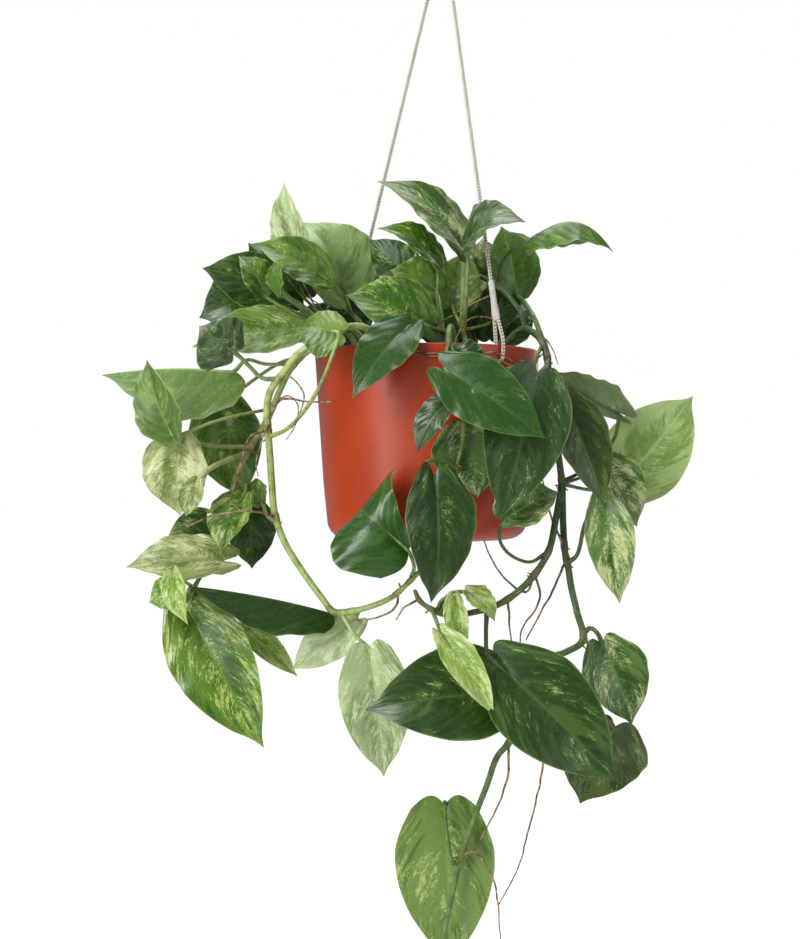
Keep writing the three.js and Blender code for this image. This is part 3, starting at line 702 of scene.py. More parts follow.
@dataclass(frozen=True)
class LeafFinish:
    """The skin of a leaf's blade, which the blade's own colours and shares drive."""

    marbling: Tree
    name: str = "leaf_face"
    under: bool = False
    bloom: Colour = (150, 172, 118)
    depth: float = 0.00045

    def make(self) -> Material:
        """Build the material.

        Returns:
            The material.
        """
        material, wires, shader = new_material(self.name, 0.4, 0.34)
        u, v = wires.chart()
        across = wires.sum("MULTIPLY_ADD", u, 2.0, -1.0)
        split = wires.add("ShaderNodeSeparateXYZ")
        wires.feed(split.inputs[0], wires.stored("shares", "Vector"))
        marks = wires.group(self.marbling, across=across, along=v, seed=split.outputs[2],
                            cream_share=split.outputs[0], wash_share=split.outputs[1]).outputs
        ground, wash, cream = (wires.stored(label) for label in ("tone", "wash", "cream"))
        fleck = wires.cloud(wires.here(), 420.0, 3.0, 0.6)
        tint = wires.step(fleck, 0.25, 0.75, 0.9, 1.08)
        shade = wires.spot(tint, tint, tint)
        colour = wires.blend(1.0, ground, shade, "MULTIPLY")
        colour = wires.blend(wires.times(marks["Wash"], 0.85), colour, wash)
        colour = wires.blend(wires.times(marks["Cream"], 0.85), colour, cream)
        colour = wires.blend(wires.times(marks["Midrib"], 0.85), colour, wash)
        colour = wires.blend(wires.times(marks["Margin"], 0.35), colour, cream)
        colour = wires.blend(wires.step(marks["Vein"], 0.12, 0.42, 0.17, 0.0), colour, wash)
        if self.under:
            colour = wires.blend(0.38, colour, linear(self.bloom))
            rough = wires.step(fleck, 0.3, 0.7, 0.5, 0.66)
        else:
            rough = wires.step(fleck, 0.3, 0.7, 0.24, 0.36)
        height = wires.sum("SUBTRACT", wires.times(marks["Vein"], 0.5), marks["Midrib"])
        height = wires.plus(height, wires.times(fleck, 0.35))
        wires.feed(shader.inputs["Base Color"], colour)
        wires.feed(shader.inputs["Roughness"], rough)
        depth = -self.depth if self.under else self.depth
        wires.feed(shader.inputs["Normal"], wires.relief(height, depth, 0.34))
        shader.inputs["Coat Weight"].default_value = 0.06 if self.under else 0.24
        shader.inputs["Coat Roughness"].default_value = 0.2
        shader.inputs["Subsurface Weight"].default_value = 0.06
        shader.inputs["Subsurface Radius"].default_value = (0.6, 1.0, 0.25)
        shader.inputs["Subsurface Scale"].default_value = 0.002
        return material


@dataclass(frozen=True)
class StemFinish:
    """The skin of stems and stalks: fine ridges, mottled green and brown leaf scars."""

    mottle: Tree
    scar: Colour = (116, 98, 62)
    streak: Colour = (206, 214, 150)

    def make(self) -> Material:
        """Build the material.

        Returns:
            The material.
        """
        material, wires, shader = new_material("stem_skin", 0.42)
        u, v = wires.chart()
        marks = wires.group(self.mottle, broad=160.0, fine=1500.0).outputs
        tone = wires.stored("tone")
        deep = wires.blend(1.0, tone, (0.42, 0.5, 0.36, 1.0), "MULTIPLY")
        colour = wires.blend(wires.step(marks["Clouds"], 0.42, 0.68, 0.0, 0.8), tone, deep)
        lengthwise = wires.spot(wires.times(u, 14.0), wires.times(v, 0.12), 0.0)
        streak = wires.step(wires.cloud(lengthwise, 1.0, 3.0, 0.6), 0.55, 0.75, 0.0, 0.5)
        colour = wires.blend(streak, colour, linear(self.streak))
        split = wires.add("ShaderNodeSeparateXYZ")
        wires.feed(split.inputs[0], wires.stored("shares", "Vector"))
        husk = wires.times(split.outputs[0],
                           wires.step(marks["Clouds"], 0.3, 0.55, 0.5, 1.0))
        colour = wires.blend(husk, colour, linear(self.scar))
        ribs = wires.sum("SINE", wires.times(u, 2 * math.pi * 9))
        height = wires.plus(wires.times(ribs, 0.3), marks["Grain"])
        wires.feed(shader.inputs["Base Color"], colour)
        wires.feed(shader.inputs["Roughness"], wires.step(marks["Grain"], 0.3, 0.7, 0.34, 0.52))
        wires.feed(shader.inputs["Normal"], wires.relief(height, 0.0002, 0.6))
        return material


@dataclass(frozen=True)
class RootFinish:
    """Brown, dry skin of the air roots."""

    mottle: Tree
    dark: Colour = (92, 74, 54)
    light: Colour = (170, 144, 112)
    fleck: Colour = (178, 150, 104)

    def make(self) -> Material:
        """Build the material.

        Returns:
            The material.
        """
        material, wires, shader = new_material("root_skin", 0.8, 0.3)
        marks = wires.group(self.mottle, broad=260.0, fine=1900.0).outputs
        clouds = wires.step(marks["Clouds"], 0.38, 0.64)
        colour = wires.blend(clouds, linear(self.dark), linear(self.light))
        grain = wires.step(marks["Grain"], 0.5, 0.75, 0.0, 0.5)
        colour = wires.blend(grain, colour, linear(self.fleck))
        wires.feed(shader.inputs["Base Color"], colour)
        wires.feed(shader.inputs["Normal"], wires.relief(marks["Grain"], 0.0003, 0.8))
        return material


@dataclass(frozen=True)
class PotFinish:
    """Satin moulded plastic in terracotta orange, a little dusty and rubbed."""

    mottle: Tree
    body: Colour = (180, 62, 18)
    deep: Colour = (166, 53, 16)
    dust: Colour = (196, 128, 96)

    def make(self) -> Material:
        """Build the material.

        Returns:
            The material.
        """
        material, wires, shader = new_material("pot_plastic", 0.36)
        marks = wires.group(self.mottle, broad=11.0, fine=900.0).outputs
        clouds = wires.step(marks["Clouds"], 0.35, 0.65)
        colour = wires.blend(clouds, linear(self.deep), linear(self.body))
        colour = wires.blend(wires.times(marks["Dust"], 0.08), colour, linear(self.dust))
        here = wires.here()
        split = wires.add("ShaderNodeSeparateXYZ")
        wires.feed(split.inputs[0], here)
        flattened = wires.spot(wires.times(split.outputs[0], 60.0),
                               wires.times(split.outputs[1], 60.0),
                               wires.times(split.outputs[2], 700.0))
        rubbed = wires.cloud(flattened, 1.0, 3.0, 0.6)
        colour = wires.blend(wires.step(rubbed, 0.6, 0.8, 0.0, 0.12), colour, linear(self.dust))
        rough = wires.step(wires.plus(wires.times(marks["Clouds"], 0.6),
                                      wires.times(rubbed, 0.4)), 0.3, 0.7, 0.3, 0.44)
        height = wires.plus(wires.times(marks["Grain"], 0.6),
                            wires.times(rubbed, 0.3))
        wires.feed(shader.inputs["Base Color"], colour)
        wires.feed(shader.inputs["Roughness"], rough)
        wires.feed(shader.inputs["Normal"], wires.relief(height, 0.0001, 0.5))
        return material


@dataclass(frozen=True)
class EarthFinish:
    """Potting mix and what lies in it: peat, bark chips and perlite."""

    mottle: Tree
    name: str
    dark: Colour
    light: Colour
    depth: float = 0.0012

    def make(self) -> Material:
        """Build the material.

        Returns:
            The material.
        """
        material, wires, shader = new_material(self.name, 0.92, 0.2)
        marks = wires.group(self.mottle, broad=120.0, fine=700.0).outputs
        share = wires.plus(wires.times(marks["Clouds"], 0.5),
                           wires.times(marks["Grain"], 0.5))
        colour = wires.blend(wires.step(share, 0.4, 0.62), linear(self.dark), linear(self.light))
        wires.feed(shader.inputs["Base Color"], colour)
        wires.feed(shader.inputs["Normal"], wires.relief(share, self.depth, 0.9))
        return material


@dataclass(frozen=True)
class RopeFinish:
    """Cotton yarn: fine fibres laid at a slant, with painted shade in the hollows between them and
    a mottled tone.
    """

    mottle: Tree
    name: str
    pale: Colour
    # shade colours the fibre hollows, as painted shade, and the darker mottle of the yarn.
    shade: Colour

    def make(self) -> Material:
        """Build the material.

        Returns:
            The material.
        """
        material, wires, shader = new_material(self.name, 0.88, 0.25)
        u, v = wires.chart()
        marks = wires.group(self.mottle, broad=400.0, fine=2600.0).outputs
        slant = wires.plus(wires.times(u, 5.0), wires.times(v, 2.2))
        fibre = wires.sum("SINE", wires.times(slant, 2 * math.pi))
        fibre = wires.sum("MULTIPLY_ADD", fibre, 0.5, 0.5)
        share = wires.plus(wires.times(fibre, 0.35),
                           wires.times(marks["Clouds"], 0.65))
        # Darker in the fibre hollows, as painted shade, and in the random clouds of the mottle.
        colour = wires.blend(wires.step(share, 0.25, 0.62), linear(self.shade), linear(self.pale))
        height = wires.plus(fibre, marks["Grain"])
        wires.feed(shader.inputs["Base Color"], colour)
        wires.feed(shader.inputs["Normal"], wires.relief(height, 0.00012, 0.8))
        shader.inputs["Sheen Weight"].default_value = 0.25
        shader.inputs["Sheen Roughness"].default_value = 0.5
        return material


@dataclass(frozen=True)
class LeafTone:
    """The colours of one kind of leaf and how much of it is cream or washed."""

    ground: Colour
    wash: Colour
    cream: Colour
    cream_share: float
    wash_share: float


class Look(Enum):
    """The kinds of leaf on the plant, from dark green to nearly all cream."""

    DARK = LeafTone((32, 62, 13), (66, 98, 36), (168, 186, 110), 0.1, 0.22)
    SHADE = LeafTone((28, 58, 10), (50, 84, 24), (150, 172, 96), 0.01, 0.1)
    SAGE = LeafTone((100, 130, 64), (146, 172, 110), (190, 206, 148), 0.14, 0.46)
    PLAIN = LeafTone((39, 75, 20), (62, 100, 38), (156, 178, 108), 0.015, 0.2)
    DEEP = LeafTone((35, 66, 20), (60, 92, 46), (184, 194, 144), 0.08, 0.2)
    OLIVE = LeafTone((42, 64, 15), (84, 108, 44), (172, 184, 112), 0.1, 0.3)
    ASH = LeafTone((44, 68, 32), (84, 108, 68), (180, 190, 142), 0.2, 0.4)
    GREEN = LeafTone((60, 96, 24), (104, 138, 56), (188, 202, 124), 0.16, 0.35)
    SMOOTH = LeafTone((120, 150, 72), (166, 190, 122), (210, 220, 168), 0.2, 0.55)
    LIGHT = LeafTone((72, 104, 32), (114, 142, 66), (190, 202, 130), 0.22, 0.5)
    BRIGHT = LeafTone((48, 86, 14), (90, 128, 36), (190, 204, 118), 0.32, 0.4)
    MARBLED = LeafTone((44, 80, 24), (96, 128, 62), (206, 212, 154), 0.42, 0.5)
    PALE = LeafTone((112, 138, 78), (172, 192, 138), (216, 226, 184), 0.46, 0.72)
    CREAM = LeafTone((92, 114, 48), (148, 162, 98), (208, 212, 162), 0.5, 0.6)
    YOUNG = LeafTone((92, 130, 38), (146, 174, 76), (214, 222, 164), 0.42, 0.5)


@dataclass(frozen=True)
class Leaf:
    """One leaf: where its blade starts and ends, its width, the way it faces and its form."""

    base: Union[Pixel, Vector]
    tip: Union[Pixel, Vector]
    width: float
    face: tuple[float, float, float]
    look: Look
    fold: float = 12.0
    arch: float = 6.0
    wave: float = 1.4
    waves: float = 1.6
    phase: float = 0.0
    lobe: float = 0.13
    thick: float = 1.15
    stalk: tuple = ()
    corner: bool = False


@dataclass(frozen=True)
class Stem:
    """One stem: its radius, its route and the hole in the potting mix that it stands in."""

    thick: float
    route: tuple
    soil: Optional[tuple[float, float]] = None

    def line(self) -> Route:
        """Lay the stem's route, from the bottom of its hole.

        Returns:
            The route.
        """
        start = []
        if self.soil:
            start = [Vector((*self.soil, SOIL_TOP - STEM_FOOT_DEPTH)),
                     Vector((*self.soil, SOIL_TOP + STEM_COLLAR))]
        return Route([*start, *(seen(spot) for spot in self.route)])


def outline(along: float) -> float:
    """Draw the margin of a heart-shaped blade.

    Args:
        along: From 0 at the stalk to 1 at the tip.

    Returns:
        The half width, as a share of the widest.
    """
    widest = 0.3
    if along < widest:
        return 0.66 + 0.34 * math.sin(math.pi / 2 * along / widest)
    onward = (along - widest) / (1 - widest)
    drip = min(max((along - 0.8) / 0.16, 0.0), 1.0)
    return max(1 - onward ** 2, 0.0) ** 1.12 * (1 - 0.3 * drip * drip * (3 - 2 * drip))


def cornered(along: float) -> float:
    """Draw the margin of a half that is curled, which runs out to a corner.

    Args:
        along: From 0 at the stalk to 1 at the tip.

    Returns:
        The half width, as a share of the widest.
    """
    start, peak = 0.14, 0.76
    if along < peak:
        return start + 0.86 * along / peak
    return (1 - (along - peak) / (1 - peak)) ** 0.6


@dataclass
class Blade:
    """The heart-shaped blade of a leaf, a thin curved sheet with a folded midrib."""

    leaf: Leaf
    seed: float
    columns: int = 22
    rows: int = 52
    thickness: float = 0.62
    quilt: float = 0.075
    base: Vector = field(init=False)
    along: Vector = field(init=False)
    across: Vector = field(init=False)
    up: Vector = field(init=False)
    length: float = field(init=False)

    def __post_init__(self) -> None:
        """Set the blade's own directions."""
        self.base = seen(self.leaf.base)
        reach = seen(self.leaf.tip) - self.base
        self.length = reach.length
        self.along = reach.normalized()
        up = Vector(self.leaf.face)
        self.up = (up - self.along * up.dot(self.along)).normalized()
        self.across = self.along.cross(self.up)

    def point(self, across: float, along: float) -> Vector:
        """Give a point of the sheet.

        Args:
            across: From -1 at one margin to 1 at the other.
            along: From 0 at the stalk to 1 at the tip.

        Returns:
            The point in millimetres.
        """
        leaf = self.leaf
        curled = leaf.corner and across > 0
        lean = 1 + 0.05 * math.sin(self.seed * 40) * (1 if across > 0 else -1)
        half = cornered(along) if curled else outline(along)
        side = across * half * leaf.width / 2 * lean
        fold = math.radians(leaf.fold)
        # Broad waves, a frill at the margin, and the quilting between the side veins.
        swing = 2 * math.pi * (leaf.waves * along + leaf.phase) + (1.3 if across > 0 else 0)
        ripple = 1.5 * leaf.wave * across ** 2 * math.sin(swing)
        frill = 0.7 * abs(across) ** 3 * math.sin(swing * 3.1 + self.seed * 50) * outline(along)
        body = min(abs(across) / 0.3, 1.0) * min((1 - abs(across)) / 0.35, 1.0) * outline(along)
        pillow = math.cos(2 * math.pi * SIDE_VEINS * (along - VEIN_LEAN * abs(across) ** VEIN_BEND))
        raised = (abs(side) * math.sin(fold) + ripple * (1 - along) + frill
                  + self.quilt * body * pillow)
        # The heart's lobes reach back past the stalk, but not on a curled half.
        lobe = 0.0 if curled else leaf.lobe
        hollow = lobe * math.sin(math.pi * abs(across) ** 0.8) * (1 - along) ** 2
        return (self.base + self.along * (self.length * (along - hollow))
                + self.across * side * math.cos(fold)
                + self.up * (raised + 4 * leaf.arch * along * (1 - along)))

    def facing(self, across: float, along: float) -> Vector:
        """Find the direction that the face looks in.

        Args:
            across: From -1 at one margin to 1 at the other.
            along: From 0 at the stalk to 1 at the tip.

        Returns:
            The direction, one long.
        """
        low, high = max(along - 0.02, 0.0), min(along + 0.02, 0.97)
        low = min(low, 0.93)
        left, right = max(across - 0.04, -1.0), min(across + 0.04, 1.0)
        middle = (low + high) / 2
        onward = self.point(across, high) - self.point(across, low)
        return (self.point(right, middle) - self.point(left, middle)).cross(onward).normalized()

    def build(self, shell: Shell) -> None:
        """Add the blade to a mesh: its face, then its underside and rim.

        Args:
            shell: The mesh.
        """
        grid = shell.lattice(self.columns, self.rows)
        tone = self.leaf.look.value
        values = (linear(tone.ground), linear(tone.wash), linear(tone.cream))
        for (i, j), vert in grid.items():
            across, along = 2 * i / self.columns - 1, j / self.rows
            vert.co = self.point(across, along)
            thin = 1 - 0.35 * max(abs(across), along) ** 6
            vert[shell.facing] = self.facing(across, along) * thin
            vert[shell.tone], vert[shell.wash], vert[shell.cream] = values
            vert[shell.shares] = (tone.cream_share, tone.wash_share, self.seed)
        shell.map_faces(grid, lambda i, j: (i / self.columns, j / self.rows), 0)
        tip = grid[self.columns // 2, self.rows]
        weld = {grid[i, self.rows]: tip for i in range(self.columns + 1) if i != self.columns // 2}
        bmesh.ops.weld_verts(shell.mesh, targetmap=weld)
        faces = (f for vert in grid.values() if vert.is_valid for f in vert.link_faces)
        sheet = list(dict.fromkeys(faces))
        made = bmesh.ops.extrude_face_region(shell.mesh, geom=sheet, use_keep_orig=True)
        for part in made["geom"]:
            if isinstance(part, bmesh.types.BMVert):
                part.co -= part[shell.facing] * self.thickness
            elif isinstance(part, bmesh.types.BMFace):
                part.material_index = 1

    def stalk(self, shell: Shell, tone: Colour) -> None:
        """Add the stalk: a sheath on the stem, a knuckle, then the midrib under the blade.

        Args:
            shell: The mesh.
            tone: The stalk's colour.
        """
        thick = self.leaf.thick
        points = [seen(spot) for spot in self.leaf.stalk]
        entry = min(5.0, self.length * 0.12) / self.length
        points.append(self.base - self.up * 0.3)
        points.append(self.point(0, entry) - self.up * (0.3 + thick * 0.5))
        joint = Route(points).length
        points += [self.point(0, share) - self.up * (0.45 + thick * (1.02 - share) * 0.8)
                   for share in (0.24, 0.38, 0.52, 0.66, 0.8) if share > entry + 0.05]
        line = Route(points)
        centres = line.stations(2.4)
        radii = []
        for i in range(len(centres)):
            run = line.length * i / (len(centres) - 1)
            sheath = 0.3 * math.exp(-((run / 7) ** 2))
            knuckle = 0.22 * math.exp(-(((run - joint + 7) / 4.5) ** 2))
            past = max(run - joint, 0.0) / max(line.length - joint, 1.0)
            radii.append(thick * (0.94 + sheath + knuckle) * (1 - 0.78 * past ** 0.7))
        scars = [0.55 * math.exp(-((line.length * i / (len(centres) - 1) / 3.2) ** 2))
                 for i in range(len(centres))]
        shell.sweep(centres, radii, 9, tone, scars)


@dataclass(frozen=True)
class Vine:
    """A rooted plant: its stems, the leaves on them and its air roots."""

    name: str
    stems: tuple
    leaves: tuple
    roots: tuple = ()
    tone: Colour = (150, 178, 92)
    shoot: Colour = (138, 166, 84)

    def seeds(self) -> Iterator[float]:
        """Give each leaf a number of its own from 0 to 1."""
        draw = rolls(sum(ord(letter) for letter in self.name))
        return (draw() for _ in self.leaves)

    def stem_skin(self, shell: Shell) -> None:
        """Add the stems, thickened and scarred where a stalk or a root starts.

        Args:
            shell: The mesh.
        """
        starts = [seen(leaf.stalk[0]) for leaf in self.leaves if leaf.stalk]
        starts += [seen(root[0]) for root in self.roots]
        draw = rolls(len(self.name) + 5)
        for stem in self.stems:
            line = stem.line()
            nodes = [run for run, off in map(line.nearest, starts) if off < stem.thick + 2.5]
            centres = line.stations(1.8)
            radii, scars = [], []
            for i in range(len(centres)):
                run = line.length * i / (len(centres) - 1)
                bulge = max((math.exp(-(((run - node) / 2.2) ** 2)) for node in nodes),
                            default=0.0)
                ring = max((math.exp(-(((run - node + 3) / 1.1) ** 2)) for node in nodes),
                           default=0.0)
                share = run / line.length
                slim = 0.1 * share + 0.28 * share ** 5
                radii.append(stem.thick * (0.93 - slim + 0.16 * bulge + 0.07 * ring))
                scars.append(min(1.0, 0.9 * ring + 0.25 * bulge))
            shell.sweep(centres, radii, 12, self.tone, scars, end_tone=self.shoot)
            for node in nodes:
                self._stub(shell, line, node + 1.5 + 2 * draw(), stem.thick, draw)

    @staticmethod
    def _stub(shell: Shell, line: Route, run: float, thick: float,
              draw: Callable[[], float]) -> None:
        """Add a short brown stub of an air root at a node of a stem.

        Args:
            shell: The mesh.
            line: The stem's route.
            run: Where along it the stub stands.
            thick: The stem's radius.
            draw: The source of numbers.
        """
        run = min(run, line.length - 2)
        foot = line.at(run)
        way = (line.at(run + 2) - line.at(run - 2)).normalized()
        side = Matrix.Rotation(2 * math.pi * draw(), 3, way) @ way.orthogonal().normalized()
        tip = foot + side * (thick + 1.4 + draw()) + way * (1.5 * draw())
        bend = foot + side * (thick + 0.6)
        shell.sweep([foot, bend, tip], [0.75, 0.6, 0.38], 7, STUB_BROWN, [1.0, 1.0, 1.0])

    def build(self, stem_finish: Material, face: Material, under: Material, root: Material) -> None:
        """Build the stems with their stalks, the blades and the roots, each as one piece.

        Args:
            stem_finish: The skin of stems and stalks.
            face: The skin of the leaves' faces.
            under: The skin of their undersides.
            root: The skin of the air roots.
        """
        stems, blades = Shell(), Shell()
        self.stem_skin(stems)
        for leaf, seed in zip(self.leaves, self.seeds()):
            blade = Blade(leaf, seed)
            blade.build(blades)
            if leaf.stalk:
                pale = leaf.look.value.wash
                tone = tuple(round((3 * a + 2 * b) / 5) for a, b in zip(self.tone, pale))
                blade.stalk(stems, tone)
        stems.finish(f"{self.name}_stems", [stem_finish], [self.name], "foliage")
        blades.finish(f"{self.name}_blades", [face, under], [self.name], "foliage", 60.0)
        if self.roots:
            strands = Shell()
            for spots in self.roots:
                line = Route([seen(spot) for spot in spots])
                centres = line.stations(2.0)
                last = len(centres) - 1
                places = [c + noise.noise_vector(c * 0.13) * 0.8 * math.sin(math.pi * i / last)
                          for i, c in enumerate(centres)]
                radii = [0.95 - 0.5 * i / last for i in range(last + 1)]
                strands.sweep(places, radii, 7)
            strands.finish(f"{self.name}_roots", [root], [self.name], "foliage")


def back_vine(number: int, soil: tuple[float, float], angle: float, drop: float,
              seed: int) -> Vine:
    """Lay out a stem that hangs over the rim at the back.

    Args:
        number: Its number among those at the back.
        soil: Where it stands in the potting mix.
        angle: The side of the pot that it hangs on, in degrees.
        drop: How far it hangs below the rim.
        seed: The number that sets its leaves.

    Returns:
        The vine.
    """
    draw = rolls(seed)
    turn = math.radians(angle)
    outward = Vector((math.cos(turn), math.sin(turn), 0.0))
    sideways = Vector((-outward.y, outward.x, 0.0))

    def at(radius: float, height: float, side: float = 0.0) -> Vector:
        """Give a place in the vine's own directions."""
        return outward * radius + sideways * side + Vector((0, 0, height))

    def level(vector: Vector, height: float) -> Vector:
        """Give a vector with another height."""
        return Vector((vector.x, vector.y, height))

    start = Vector((*soil, SOIL_TOP + 10))
    crest = at(76, POT_HEIGHT + 9)
    down = [at(92 + 5 * math.sin(i * 1.9), POT_HEIGHT - 8 - i * 40, 4 * math.sin(i * 2.4))
            for i in range(int(drop // 40) + 1)]
    looks = (Look.MARBLED, Look.GREEN, Look.PALE, Look.LIGHT, Look.DARK)
    leaves = []
    for i, node in enumerate(down):
        side = 1 if i % 2 == 0 else -1
        length = 48 + 14 * draw()
        base = node + outward * 9 + sideways * side * 8 + Vector((0, 0, 2))
        away = sideways * side * (0.26 + 0.14 * draw())
        reach = level(away + outward * 0.3, -0.8).normalized()
        leaves.append(Leaf(base, base + reach * length, length * 0.66,
                           tuple(level(outward, 0.35)),
                           looks[(i + number) % 5], phase=draw(), stalk=(node,)))
    for i in range(2):
        lean = (i - 0.5) * 0.62
        rise = 34 + 26 * draw()
        base = start + outward * (16 + 6 * i) + sideways * lean * 30 + Vector((0, 0, rise))
        reach = level(outward * 0.55 + sideways * lean * 0.9, 0.45).normalized()
        length = 52 + 16 * draw()
        leaves.append(Leaf(base, base + reach * length, length * 0.68,
                           tuple(level(outward * 0.7, 0.8)),
                           looks[(i + number + 3) % 5], phase=draw(), arch=8.0, stalk=(start,)))
    route = (start, level(start.lerp(crest, 0.6), POT_HEIGHT + 8), crest, *down)
    return Vine(f"vine_back_{number}", (Stem(2.2, route, soil),), tuple(leaves))


